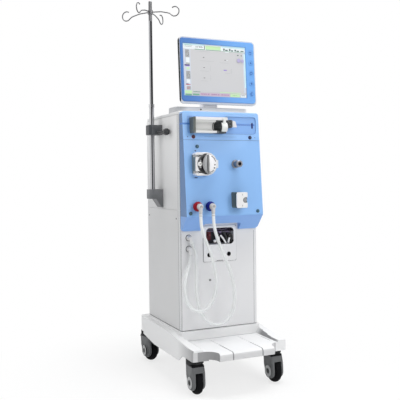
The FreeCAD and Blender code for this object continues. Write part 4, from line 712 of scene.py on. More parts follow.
def traced(name: str, points: list[Vector], closed: bool) -> Piece:
    """A line of edges drawn out from one corner, left in edit mode, all selected.

    Args:
        name: the piece's name.
        points: its corners in metres, in order.
        closed: whether the last corner joins the first.

    Returns:
        The piece.
    """
    clear_selection()
    bpy.ops.mesh.primitive_plane_add(size=0.001, location=points[0])
    piece = put_down(bpy.context.object)
    piece.name = name
    edit(piece)
    bpy.ops.mesh.merge(type="CENTER")
    route = points + points[:1] if closed else points
    for last, here in zip(route, route[1:]):
        bpy.ops.mesh.extrude_region_move(TRANSFORM_OT_translate={"value": here - last})
    bpy.ops.mesh.select_all(action="SELECT")
    bpy.ops.mesh.remove_doubles(threshold=WELD)
    return piece


def turned(name: str, profile: list[Flat], centre: Point, axis: Axis,
           steps: int = 48) -> Piece:
    """A piece spun from a profile of (radius, station) in millimetres.

    Args:
        name: the piece's name.
        profile: points from the axis or a bore, round the section and back.
        centre: where station nought stands.
        axis: the way that stations grow.
        steps: how many parts the full turn has.

    Returns:
        The closed mesh, in place.
    """
    closed = profile[0][0] > 0 or profile[-1][0] > 0
    piece = traced(name, [metres((r, 0, s)) for r, s in profile], closed)
    bpy.ops.mesh.spin(steps=steps, angle=2 * math.pi, center=(0, 0, 0), axis=(0, 0, 1))
    bpy.ops.mesh.select_all(action="SELECT")
    bpy.ops.mesh.remove_doubles(threshold=WELD)
    bpy.ops.mesh.normals_make_consistent(inside=False)
    bpy.ops.object.mode_set(mode="OBJECT")
    piece.rotation_mode = "QUATERNION"
    piece.rotation_quaternion = Axis.Z.value.rotation_difference(axis.value)
    piece.location = metres(centre)
    return put_down(piece)


def pressed(name: str, outline: list[Flat], front: float, depth: float,
            round_by: float = 0.5) -> Piece:
    """An outline of (x, z) points pushed back from a front plane, edges rounded.

    Args:
        name: the piece's name.
        outline: corner points in millimetres, seen from the front.
        front: Y of the front face.
        depth: how far the piece goes back.
        round_by: the width of its rounded edges.

    Returns:
        The closed mesh, in place.
    """
    piece = traced(name, [metres((x, front, z)) for x, z in outline], True)
    bpy.ops.mesh.edge_face_add()
    bpy.ops.mesh.extrude_region_move(TRANSFORM_OT_translate={"value": (0, depth * MM, 0)})
    bpy.ops.mesh.select_all(action="SELECT")
    bpy.ops.mesh.normals_make_consistent(inside=False)
    bpy.ops.object.mode_set(mode="OBJECT")
    return bevel(piece, round_by)


def sliced(piece: Piece, place: Point, way: Point) -> Piece:
    """Cut off what lies past a plane and close the cut.

    Args:
        piece: the closed mesh.
        place: a point of the plane in millimetres.
        way: the way that the plane faces, towards what is cut off.

    Returns:
        The piece.
    """
    edit(piece)
    bpy.ops.mesh.bisect(plane_co=metres(place), plane_no=way, use_fill=True,
                        clear_outer=True)
    bpy.ops.object.mode_set(mode="OBJECT")
    return piece


def bent_tube(name: str, points: list[Point], radius: float, closed: bool, order: int,
              resolution: int, sides: int) -> Piece:
    """A round tube along smooth points, as a curve.

    Args:
        name: the piece's name.
        points: the points in millimetres.
        radius: the tube's radius in millimetres.
        closed: whether it runs back to its first point.
        order: how many points shape each part of it.
        resolution: how many steps it has between points.
        sides: the resolution of its round section.

    Returns:
        The curve object, in the scene.
    """
    curve = bpy.data.curves.new(name, "CURVE")
    curve.dimensions = "3D"
    curve.resolution_u = resolution
    curve.bevel_depth = radius * MM
    curve.bevel_resolution = sides
    curve.use_fill_caps = True
    spline = curve.splines.new("NURBS")
    spline.points.add(len(points) - 1)
    for knot, point in zip(spline.points, points):
        knot.co = (*metres(point), 1)
    spline.order_u = order
    spline.use_endpoint_u = not closed
    spline.use_cyclic_u = closed
    piece = bpy.data.objects.new(name, curve)
    bpy.context.scene.collection.objects.link(piece)
    return piece


def drawn(name: str, points: list[Point], radius: float, closed: bool = False,
          sides: int = 3) -> Piece:
    """A round wire or soft rod along smooth points, as a mesh.

    Args:
        name: the piece's name.
        points: the points in millimetres.
        radius: the wire's radius in millimetres.
        closed: whether it runs back to its first point.
        sides: the resolution of its round section.

    Returns:
        The mesh, in place.
    """
    clear_selection()
    choose(bent_tube(name, points, radius, closed, min(3, len(points)), 8, sides))
    bpy.ops.object.convert(target="MESH")
    return bpy.context.object


def leaned(piece: Piece) -> Piece:
    """Lean a piece made upright about the screen's centre back into place.

    Args:
        piece: the piece.

    Returns:
        The piece, on the screen.
    """
    piece.rotation_euler = (math.radians(-SCREEN_LEAN), 0, 0)
    piece.location = metres(SCREEN_CENTRE)
    return put_down(piece)


def arc(centre: Flat, radius: float, start: float, end: float,
        count: int = 9) -> list[Flat]:
    """Points along an arc.

    Args:
        centre: the arc's centre.
        radius: its radius.
        start: the first point's angle, in degrees from +X towards +Z.
        end: the last point's angle.
        count: how many points there are.

    Returns:
        The points as (x, z).
    """
    step = (end - start) / (count - 1)
    return [(centre[0] + radius * math.cos(math.radians(start + i * step)),
             centre[1] + radius * math.sin(math.radians(start + i * step)))
            for i in range(count)]


# The studio
@dataclass
class Studio:
    """Camera, lamps, floor and the white surroundings."""

    camera_place: Point = (-1245.6, -2654.9, 895.0)
    camera_azimuth: float = -0.4237
    camera_pitch: float = -0.0365
    camera_roll: float = -0.0113
    lens: float = 58.25
    sensor: float = 36.0

    def camera(self) -> None:
        """Set the camera where the photograph's stood."""
        az, pitch = self.camera_azimuth, self.camera_pitch
        ahead = Vector((-math.sin(az) * math.cos(pitch), math.cos(az) * math.cos(pitch),
                        math.sin(pitch)))
        right = Vector((math.cos(az), math.sin(az), 0))
        up = right.cross(ahead)
        turn_right = right * math.cos(self.camera_roll) + up * math.sin(self.camera_roll)
        turn_up = up * math.cos(self.camera_roll) - right * math.sin(self.camera_roll)
        data = bpy.data.cameras.new("camera")
        data.lens = self.lens
        data.sensor_width = self.sensor
        data.clip_start, data.clip_end = 0.05, 100
        camera = bpy.data.objects.new("camera", data)
        bpy.context.scene.collection.objects.link(camera)
        basis = Matrix((turn_right, turn_up, -ahead)).transposed().to_4x4()
        camera.matrix_world = Matrix.Translation(metres(self.camera_place)) @ basis
        bpy.context.scene.camera = camera
        LOG.info("camera set")

    def lamp(self, name: str, place: Point, aim: Point, size: float, power: float) -> None:
        """Hang one soft round lamp.

        Args:
            name: its name.
            place: where it hangs, in metres.
            aim: the point that it looks at.
            size: its width in metres.
            power: its power in watts.
        """
        data = bpy.data.lights.new(name, "AREA")
        data.shape = "DISK"
        data.size = size
        data.energy = power
        lamp = bpy.data.objects.new(name, data)
        bpy.context.scene.collection.objects.link(lamp)
        lamp.location = place
        lamp.rotation_euler = (Vector(aim) - Vector(place)).to_track_quat("-Z", "Y").to_euler()

    def lamps(self) -> None:
        """A key from the front right, a fill from the left and one overhead."""
        aim = (0, 0, 0.9)
        self.lamp("key_lamp", (1.6, -3.5, 2.5), aim, 1.6, 38)
        self.lamp("side_lamp", (-3.3, 1.4, 2.9), aim, 3.4, 25)
        self.lamp("top_lamp", (0.3, -0.5, 4.0), (0, 0, 0.6), 2.4, 88)

    def floor(self) -> None:
        """A pale floor that keeps the shadow near the machine and is white farther off."""
        clear_selection()
        bpy.ops.mesh.primitive_circle_add(vertices=96, radius=9, fill_type="NGON",
                                          location=(0, 0, -0.0005))
        floor = put_down(bpy.context.object)
        floor.name = "studio_floor"
        material = bpy.data.materials.new("floor_paper")
        material.use_nodes = True
        net = Net(material.node_tree)
        paper = net.tree.nodes["Principled BSDF"]
        net.feed(paper, {"Base Color": (0.9, 0.9, 0.9, 1), "Roughness": 0.9,
                         "Specular IOR Level": 0.0})
        rays = net.add("LightPath").outputs
        seen = net.math("MAXIMUM", rays["Is Camera Ray"], rays["Is Glossy Ray"])
        place = net.add("TexCoord").outputs["Object"]
        away = net.add("VectorMath", {0: place}, operation="LENGTH").outputs["Value"]
        white = net.ramp(away, 0.45, 1.1, 0.74, 1.0, "SMOOTHSTEP")
        mix = net.add("MixShader", {0: net.math("MULTIPLY", seen, white),
                                    1: paper.outputs[0], 2: net.add("Emission").outputs[0]})
        net.feed(net.tree.nodes["Material Output"], {"Surface": mix.outputs[0]})
        floor.data.materials.append(material)

    def world(self) -> None:
        """A soft even light that is plain white where it is seen."""
        world = bpy.data.worlds.new("studio_world")
        bpy.context.scene.world = world
        world.use_nodes = True
        net = Net(world.node_tree)
        soft = net.tree.nodes["Background"]
        net.feed(soft, {"Color": (0.98, 0.99, 1.0, 1), "Strength": 0.5})
        white = net.add("Background", {"Color": (1, 1, 1, 1), "Strength": 1.0})
        rays = net.add("LightPath").outputs
        seen = rays["Is Camera Ray"]
        for other in ("Is Glossy Ray", "Is Transmission Ray"):
            seen = net.math("MAXIMUM", seen, rays[other])
        mix = net.add("MixShader", {0: seen, 1: soft.outputs[0], 2: white.outputs[0]})
        net.feed(net.tree.nodes["World Output"], {"Surface": mix.outputs[0]})
        bpy.context.scene.view_settings.view_transform = "Standard"
        LOG.info("studio lit")


# The hoses
@dataclass
class Hose:
    """One hanging hose from a coupling to its rinse port."""

    name: str
    node: str
    start: Point
    middle: list[Point]
    end: Point
    end_way: Point
    length: float
    diameter: float = 13.5
    first_run: float = 39.0
    last_run: float = 27.0

    def route(self) -> list[Point]:
        """Find the route, its two end runs straight out of their fittings.

        Returns:
            The route's points.
        """
        x, y, z = self.start
        after = (x, y, z - self.first_run)
        before = tuple(e + w * self.last_run for e, w in zip(self.end, self.end_way))
        return [self.start, after, *self.middle, before, self.end]

    def build(self) -> None:
        """Make the hose as one smooth open curve."""
        piece = bent_tube(self.name, self.route(), self.diameter / 2, False, 3, 16, 6)
        piece.data.materials.append(Finishes.hose.material())
        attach(piece, "machine")
        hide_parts(self.node)
        LOG.info("hose %s hung", self.name)


def hoses() -> list[Hose]:
    """Lay out the supply and return hoses.

    Returns:
        The two hoses.
    """
    y = face_y(COUPLING_Z) - COUPLING_REACH
    tilt = math.radians(20.0)
    way = (math.sin(tilt), 0.0, -math.cos(tilt))
    port = (RINSE_X, -115.0, RINSE_Z)
    upper_end = tuple(p + w * 22.0 for p, w in zip(port, way))
    supply = [(-126, -203, 650), (-102, -198, 600), (-78, -190, 545), (-62, -184, 485),
              (-57, -180, 425), (-70, -178, 366), (-105, -177, 328), (-150, -174, 322),
              (-184, -164, 354), (-193, -154, 405), (-186, -143, 455), (-168, -128, 495)]
    back = [(-68, -204, 650), (-44, -202, 590), (-14, -197, 528), (11, -192, 465),
            (26, -187, 400), (28, -181, 335), (6, -176, 280), (-40, -170, 252),
            (-89, -161, 270), (-121, -152, 316), (-133, -145, 372), (-133, -140, 435),
            (-129, -133, 498), (-124, -122, 548)]
    return [Hose("supply_hose_tube", "supply_hose", (SUPPLY_X, y, 737), supply,
                 (RINSE_X, -115, 560), (0, 0, -1), 747),
            Hose("return_hose_tube", "return_hose", (RETURN_X, y, 737), back, upper_end,
                 way, 937)]


class Assembly:
    """A sub-assembly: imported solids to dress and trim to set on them."""

    def looks(self) -> dict[str, Finish]:
        """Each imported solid's node and its finish."""
        return {}

    def dress(self) -> None:
        """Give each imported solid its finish."""
        for node, finish in self.looks().items():
            paint(frame["nodes"][node], finish)
            LOG.info("dressed %s in %s", node, finish.name)

    def build(self) -> None:
        """Add the trim, where there is any."""


# The base and casters
@dataclass
class RunningGear(Assembly):
    """Base moulding, frame and casters."""

    places: dict[str, Point] = field(default_factory=lambda: {
        "front_left": (-185.0, -232.0, 0.0), "front_right": (185.0, -232.0, 0.0),
        "rear_left": (-185.0, 326.0, 14.0), "rear_right": (185.0, 326.0, 0.0)})
    trail: float = 12.0
    axle_height: float = 50.0
    hood_half: float = 28.0

    def looks(self) -> dict[str, Finish]:
        """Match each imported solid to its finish.

        Returns:
            Node to finish.
        """
        looks = {"base_moulding": Finishes.base_white, "chassis_frame": Finishes.frame}
        for corner in self.places:
            looks |= {"caster_fork_" + corner: Finishes.hood,
                      "caster_wheel_" + corner: Finishes.tyre,
                      "caster_pedal_" + corner: Finishes.pedal}
        return looks

    def build(self) -> None:
        """Add hub caps and rings to each fork and ribs to its pedal."""
        for corner in self.places:
            caps, rings = [], []
            for side, axis in ((-1, Axis.LEFT), (1, Axis.X)):
                start = (side * (self.hood_half + 1.4), -self.trail, self.axle_height)
                caps.append(turned("cap", [(0, 0), (10, 0), (10, 1.4), (8, 2.4), (6, 1.2),
                                           (4, 1.2), (3.5, 2.8), (0, 3.0)], start, axis, 32))
                rings.append(turned("ring", [(12.5, 0), (24.5, 0), (23.5, 1.0), (18.5, 1.0),
                                             (17.5, 1.9), (14, 1.9), (12.5, 1.2)],
                                    start, axis, 40))
            self.seat("caster_cap_", caps, corner, "caster_", Finishes.black)
            self.seat("caster_ring_", rings, corner, "caster_", Finishes.hub_ring)
            ribs = [block("rib", (-12, 37.0 + i * 5.5, 113.5 - i * 0.9),
                          (12, 37.0 + i * 5.5 + 2.5, 118.6 - i), 0.8) for i in range(3)]
            self.seat("pedal_grip_", ribs, corner, "pedal_", Finishes.black)

    def seat(self, name: str, pieces: list[Piece], corner: str, body: str,
             finish: Finish) -> None:
        """Turn a caster's piece with its fork and set it under the base.

        Args:
            name: the piece's name without its corner.
            pieces: its meshes, about a caster at the origin.
            corner: where the caster stands.
            body: the body's name without its corner.
            finish: the piece's finish.
        """
        x, y, turn = self.places[corner]
        piece = joined(name + corner, pieces)
        piece.rotation_euler = (0, 0, math.radians(turn))
        piece.location = metres((x, y, 0))
        fit(name + corner, [put_down(piece)], finish, body + corner)


# The cabinet
@dataclass
class Cabinet(Assembly):
    """Panels, lid, rear services and the small fixings."""

    half: float = 185.0
    fan: Flat = (-80, 560)

    def looks(self) -> dict[str, Finish]:
        """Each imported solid's node and its finish."""
        return {"lower_side_panels": Finishes.panel, "upper_side_panels": Finishes.panel,
                "rear_cover": Finishes.panel, "front_panel": Finishes.front_panel,
                "top_cover": Finishes.lid, "water_fittings": Finishes.brass,
                "hydraulic_unit": Finishes.unit, "power_unit": Finishes.unit,
                "fixing_screws": Finishes.screw}

    def build(self) -> None:
        """Add the rear pieces, the marks and the gaskets."""
        self.mains_inlet()
        self.fan_guard()
        self.rear_screws()
        self.ticks()
        self.post_seams()

    def mains_inlet(self) -> None:
        """An appliance inlet with its fuse drawer on the rear cover."""
        y = CABINET_REAR
        body = block("inlet", (60, y - 0.2, 520), (108, y + 7, 552), 2.0)
        mouth = pressed("mouth", [(68, 526), (100, 526), (100, 543), (95, 548), (73, 548),
                                  (68, 543)], y + 7.6, -1.2, 0.4)
        pins = [block("pin", (80 + dx, y + 8.6, z), (84 + dx, y + 9.8, z + 6), 0.4)
                for dx, z in ((-8, 531), (8, 531), (0, 538))]
        fit("mains_inlet", [body, mouth], Finishes.black)
        fit("mains_pins", pins, Finishes.rear_steel)

    def fan_guard(self) -> None:
        """A ringed guard over the fan outlet on the rear cover."""
        y = CABINET_REAR + 2.2
        rings = []
        for radius in (14.0, 24.0, 34.0, 44.0, 52.0):
            points = [(x, y, z) for x, z in arc(self.fan, radius, 0, 345, 24)]
            rings.append(drawn("ring", points, 1.1, True))
        for angle in (45, 135, 225, 315):
            way = (math.cos(math.radians(angle)), math.sin(math.radians(angle)))
            rings.append(drawn("spoke", [(self.fan[0] + way[0] * r, y + 0.6,
                                          self.fan[1] + way[1] * r)
                                         for r in (4, 20, 40, 56)], 1.2))
        fit("fan_guard", rings, Finishes.rear_steel, angle=ROUND_SMOOTH)
        plate = turned("fan_backing", [(0, 0), (56, 0), (56, 1.0), (0, 1.2)],
                       (self.fan[0], CABINET_REAR, self.fan[1]), Axis.Y)
        fit("fan_backing", [plate], Finishes.black)

    def rear_screws(self) -> None:
        """Pan-head screws round the rear cover."""
        heads = [turned("head", [(0, 0), (3.6, 0), (3.4, 1.4), (2, 2.2), (0, 2.3)],
                        (x, CABINET_REAR, z), Axis.Y, 16)
                 for x in (-176.0, 176.0) for z in (245.0, 470.0, 700.0, 930.0, 1146.0)]
        fit("rear_screws", heads, Finishes.rear_steel)

    def post_seams(self) -> None:
        """Dark gaskets down both edges of each front corner post and round the foot."""
        strips = []
        for side in (-1, 1):
            low, high = sorted((side * (self.half - 0.4), side * (self.half + 0.25)))
            for y in (-94.6, -73.6):
                for z0, z1 in ((230.0, 748.6), (751.4, 1158.0)):
                    strips.append(block("strip", (low, y, z0), (high, y + 2.0, z1), 0.15, 1))
            strips.append(block("strip", (low, -94, 226.3), (high, 310, 228.1), 0.15, 1))
        strips.append(block("strip", (-184, -95.25, 226.3), (184, -94.5, 228.1), 0.15, 1))
        for x in (-182.5, 171.5):
            strips.append(block("strip", (x, -95.2, 229), (x + 1.3, -94.5, 650), 0.15, 1))
        fit("post_gaskets", strips, Finishes.gasket)

    def ticks(self) -> None:
        """Small dark marks beside the ports and the pump."""
        marks = [turned("mark", [(0, 0), (radius, 0), (radius, 0.5), (0, 0.7)],
                        (x, face_y(z), z), Axis.FRONT, 20)
                 for x, z, radius in ((-163.0, PORT_Z, 2.2), (161.0, 1063.0, 1.8),
                                      (-130.0, 1004.0, 3.2))]
        marks.append(block("dash", (-139, face_y(889.6) - 0.8, 887.6),
                           (-126, face_y(889.6) + 1, 891.6), 0.4))
        fit("fascia_marks", marks, Finishes.port_blue)


# The fascia and what stands on it
@dataclass
class Fascia(Assembly):
    """Blue fascia, pressure ports, post, detector and couplings."""

    detector_front: float = face_y(791.5) - 43.0

    def looks(self) -> dict[str, Finish]:
        """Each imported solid's node and its finish."""
        return {"front_fascia": Finishes.fascia, "syringe_fascia": Finishes.fascia,
                "pressure_ports": Finishes.port_core, "holder_post": Finishes.steel,
                "clamp_housing": Finishes.detector, "clamp_door": Finishes.door,
                "clamp_button": Finishes.button, "supply_collar": Finishes.red,
                "return_collar": Finishes.blue, "coupling_elbows": Finishes.elbow,
                "hose_ports": Finishes.port}

    def build(self) -> None:
        """Add rings, ribs, clips, lips, a gasket and dark rings of painted shade round the
        rinse ports.
        """
        for name, x, finish in (("red", -PORT_X, Finishes.port_red),
                                ("blue", PORT_X, Finishes.port_blue)):
            ring = turned("ring", [(5.3, 3.0), (7.6, 3.0), (8.2, 1.2), (8.2, 0.2), (7.55, 0.2),
                                   (7.55, 2.4), (5.3, 2.4)],
                          (x, face_y(PORT_Z), PORT_Z), Axis.FRONT)
            fit("port_ring_" + name, [ring], finish)
        self.grips("supply", SUPPLY_X, Finishes.red)
        self.grips("return", RETURN_X, Finishes.blue)
        self.hose_clips()
        self.door_lips()
        self.seams()

    def seams(self) -> None:
        """The gasket between the two fascias and the line round the syringe recess."""
        y = face_y(1050.2)
        gasket = block("gasket", (-183.6, y - 0.25, 1049.0), (183.6, y + 3, 1051.2), 0.1, 1)
        places = [(20, 1153), (120, 1153), (162, 1153), (168, 1148), (168, 1120), (168, 1090),
                  (164, 1082), (152, 1078), (130, 1078), (60, 1078), (-60, 1078)]
        edge = drawn("edge", [(x, face_y(z) + 0.1, z) for x, z in places], 0.75, sides=2)
        groove = drawn("groove", [(x, face_y(1065) + 0.1, 1065) for x in (-85, -30, 20, 70)],
                       0.5, sides=2)
        fit("fascia_seams", [gasket, edge, groove], Finishes.seam, angle=ROUND_SMOOTH)
        # Dark rings round the rinse ports stand for the shade round their flanges: painted
        # shade.
        rings = [turned("ring", [(11.6, 0), (14.2, 0), (13.8, 1.6), (11.6, 2.0)],
                        (RINSE_X, CABINET_FRONT, z), Axis.FRONT, 40) for z in (RINSE_Z, 582.0)]
        fit("rinse_port_shade_rings", rings, Finishes.gasket)

    def grips(self, name: str, x: float, finish: Finish) -> None:
        """Add raised grip ribs round a coupling collar.

        Args:
            name: which hose the collar is for.
            x: where it stands.
            finish: its finish.
        """
        y = face_y(COUPLING_Z) - 4 - 13.5
        ribs = []
        for i in range(18):
            angle = math.radians(20 * i)
            out = (math.cos(angle), math.sin(angle))
            ribs.append(drawn("rib", [(x + out[0] * r, y + d, COUPLING_Z + out[1] * r)
                                      for r, d in ((20.0, -5), (20.6, 0), (20.0, 5))], 0.9,
                              sides=2))
        fit(name + "_collar_ribs", ribs, finish, name + "_sleeve", ROUND_SMOOTH)

    def hose_clips(self) -> None:
        """Thin clips that close each hose on its barb, and the elbows' plugs."""
        y = face_y(COUPLING_Z) - COUPLING_REACH
        rings = [turned("clip", [(6.85, 0), (7.9, 0), (7.9, 5), (6.85, 5)], (x, y, 728),
                        Axis.Z, 32) for x in (SUPPLY_X, RETURN_X)]
        fit("coupling_hose_clips", rings, Finishes.elbow)
        plugs = [turned("plug", [(0, 0), (5.6, 0), (5.6, 0.5), (4.6, 1.0), (0, 0.6)],
                        (x, y - 7.0, COUPLING_Z + 0.5), Axis.FRONT, 32)
                 for x in (SUPPLY_X, RETURN_X)]
        fit("elbow_plugs", plugs, Finishes.button)

    def door_lips(self) -> None:
        """Two guide lips on the detector's door."""
        y = self.detector_front
        lips = [block("lip", (57, y - 7.9, z), (59, y - 6.9, z + 8), 0.4) for z in (764, 811)]
        fit("door_lips", lips, Finishes.button, "door")


@dataclass
class SyringePump(Assembly):
    """Cradle, ribs, barrel clamp, pusher and slot trim."""

    cradle_front: float = face_y(1079.0) - 36.0
    barrel_z: float = 1107.0

    def looks(self) -> dict[str, Finish]:
        """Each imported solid's node and its finish."""
        return {"syringe_cradle": Finishes.cradle, "syringe_clamp": Finishes.clamp,
                "syringe_pusher": Finishes.pusher}

    def build(self) -> None:
        """Add the ribbed seat, the slot's lips and its end."""
        self.ribs()
        self.slot_lips()
        self.slot_end()

    def ribs(self) -> None:
        """Black half-round ribs in the cradle's open end."""
        y = self.cradle_front + 11.4
        ribs = []
        for i in range(4):
            x = -48.0 + i * 6.0
            points = [(x, y + dy, z) for dy, z in arc((0, self.barrel_z), 17.6, -100, 70, 11)]
            ribs.append(drawn("rib", points, 1.3, sides=2))
        fit("cradle_ribs", ribs, Finishes.black, angle=ROUND_SMOOTH)

    def slot_lips(self) -> None:
        """Two soft lips that close the pusher's slot round its stem, a deeper blue than the
        fascia: painted shade inside the slot.
        """
        lips = []
        for low, high in ((1115.7, 1118.9), (1119.1, 1122.3)):
            y = face_y((low + high) / 2) + 2.9
            lips.append(block("lip", (-150, y, low), (155, y + 0.8, high), 0.15, 1))
        fit("slot_lips", lips, Finishes.lip)

    def slot_end(self) -> None:
        """Dark oval piece at the right end of the pusher's slot: painted shade of the slot's
        depth.
        """
        outline = arc((151.5, 1124.5), 4.2, 0, 180) + arc((151.5, 1107.5), 4.2, 180, 360)
        shade_liner = pressed("shade_liner", outline, face_y(1116) + 2.3, 1.5, 0.2)
        fit("slot_end_shade_liner", [shade_liner], Finishes.port_blue)


@dataclass
class BloodPump(Assembly):
    """Painted-shade disc in the pump housing, rotor facets and marks."""

    front: float = face_y(PUMP_Z) - 35.0
    handle_half: float = 5.2

    def looks(self) -> dict[str, Finish]:
        """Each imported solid's node and its finish."""
        return {"pump_housing": Finishes.pump, "pump_rotor": Finishes.rotor,
                "rotor_handle": Finishes.handle, "pump_roller_left": Finishes.roller,
                "pump_roller_right": Finishes.roller}

    def build(self) -> None:
        """Add what is cut and set into the housing and the rotor."""
        self.shade_liner()
        self.facets()
        self.cover_marks()

    def facets(self) -> None:
        """Two sloping facets of the rotor's cover, either side of its handle; the left one is a
        grey, shaded copy of the white one: painted shade.
        """
        back = self.front - 9.7
        left_x, right_x = PUMP_X - self.handle_half, PUMP_X + self.handle_half
        left = [(left_x, PUMP_Z - 33), *reversed(arc(
            (PUMP_X + 30, PUMP_Z), 50.5, 138, 222, 17)), (left_x, PUMP_Z + 33)]
        right = [(right_x, PUMP_Z + 39), *arc((PUMP_X, PUMP_Z), 40.3, 74, -74, 25),
                 (right_x, PUMP_Z - 39)]
        for name, outline, place, way, finish in (
                ("rotor_left_facet", left, (left_x, back - 3.6, PUMP_Z), (-0.19, -0.98, 0),
                 Finishes.facet_painted_shade),
                ("rotor_right_facet", right, (right_x, back - 3.2, PUMP_Z),
                 (0.07, -0.997, 0), Finishes.facet_white)):
            facet = sliced(pressed(name, outline, back, -4.2, 0), place, way)
            fit(name, [bevel(facet, 0.4)], finish, "rotor")

    def shade_liner(self) -> None:
        """Dark disc on the chamber's floor: painted shade of the deep chamber."""
        piece = turned("shade_liner", [(9.5, 0.0), (43.6, 0.0), (43.8, 0.9), (9.5, 0.9)],
                       (PUMP_X, self.front + 27.0, PUMP_Z), Axis.FRONT, 64)
        fit("chamber_shade_liner", [piece], Finishes.detector)

    def facet_y(self, x: float) -> float:
        """Y of the right facet's front at a place across it."""
        return self.front - 12.9 + (x - PUMP_X - self.handle_half) * 0.0702

    def cover_marks(self) -> None:
        """Dark arc slots and screw heads on the rotor's cover."""
        marks = []
        for start, end in ((14, 66), (-80, -44)):
            points = [(x, self.facet_y(x), z)
                      for x, z in arc((PUMP_X, PUMP_Z), 36.5, start, end)]
            marks.append(drawn("slot", points, 1.3, sides=2))
        for angle, radius in ((-7, 32.0), (-30, 34.0)):
            x, z = arc((PUMP_X, PUMP_Z), radius, angle, angle + 1, 2)[0]
            marks.append(turned("head", [(0, -0.8), (3.4, -0.8), (3.2, 0.6), (0, 0.9)],
                                (x, self.facet_y(x), z), Axis.FRONT, 20))
        fit("rotor_cover_marks", marks, Finishes.black, "rotor", ROUND_SMOOTH)


# The lower front
@dataclass
class Bay(Assembly):
    """Connector bay and what is plugged into it."""

    joint_y: float = CABINET_FRONT - 0.35
    rim_y: float = CABINET_FRONT - 3.0
    socket_z: float = 550.5

    def looks(self) -> dict[str, Finish]:
        """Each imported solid's node and its finish."""
        return {"connector_bay": Finishes.insert, "bay_connectors": Finishes.connector}

    def build(self) -> None:
        """Add tubes, fittings, rims and joint lines."""
        tubes = [drawn("tube", [(36, -79, 622), (36, -80, 612), (38, -78, 603), (46, -70, 600),
                                (56, -60, 604), (62, -50, 614), (64, -42, 628)], 4.0),
                 drawn("tube", [(52, -90, 648), (60, -92, 638), (63, -92, 622), (61, -90, 606),
                                (60, -84, 599)], 4.6),
                 drawn("tube", [(20, -70, 650), (30, -86, 640), (38, -92, 622), (36, -88, 604)],
                       5.0)]
        fit("bay_tubes", tubes, Finishes.black, angle=ROUND_SMOOTH)
        self.fittings()
        rims = [turned("rim", [(10.0, 0.0), (12.2, 0.0), (12.2, 0.8), (11.2, 1.4), (10.0, 1.0)],
                       (x, self.rim_y, self.socket_z), Axis.FRONT, 40) for x in (-51.0, 45.0)]
        fit("socket_rims", rims, Finishes.door)
        self.edges()

    def fittings(self) -> None:
        """White ends, bands and a lead in the recess."""
        ends = [turned("end", [(0, 0), (5.5, 0), (6.5, 3), (6.5, 9), (3.5, 12), (0, 12)],
                       (-20, -86, 610), Axis.FRONT, 28),
                drawn("end", [(9, -88, 634), (17, -92, 624), (25, -94, 612), (33, -93, 599)],
                      4.0),
                drawn("end", [(2, -84, 626), (0, -90, 616), (-2, -92, 606)], 5.0),
                drawn("end", [(50, -94, 622), (46, -95, 612), (45, -94, 600)], 4.2)]
        fit("bay_white_ends", ends, Finishes.door, angle=ROUND_SMOOTH)
        bands = [block("band", low, high, 0.8) for low, high in (
            ((-60, -74, 657), (66, -40, 660.5)), ((6, -78, 644), (66, -42, 651)),
            ((-60, -72, 650), (-6, -44, 653)))]
        fit("bay_bands", bands, Finishes.band)
        lead = drawn("lead", [(-3, -93, 606), (-1, -99.4, 598), (0, -100.4, 590),
                              (3, -99.4, 584)], 1.5)
        fit("bay_lead", [lead], Finishes.gasket, angle=ROUND_SMOOTH)

    def edges(self) -> None:
        """The dark joint round the bay's plate, and its lifting notch."""
        corners = [(x, self.joint_y, z) for x, z in (
            (-78.9, 676), (-78.9, 524), (-75, 520.2), (79, 520.2), (82.9, 524), (82.9, 674),
            (79, 677.8))]
        lines = [drawn("line", list(pair), 0.8, sides=2) for pair in zip(corners, corners[1:])]
        lines.append(block("notch", (-15, -98.5, 523.2), (16, -97, 525.2), 0.3))
        fit("bay_joint", lines, Finishes.gasket, angle=ROUND_SMOOTH)


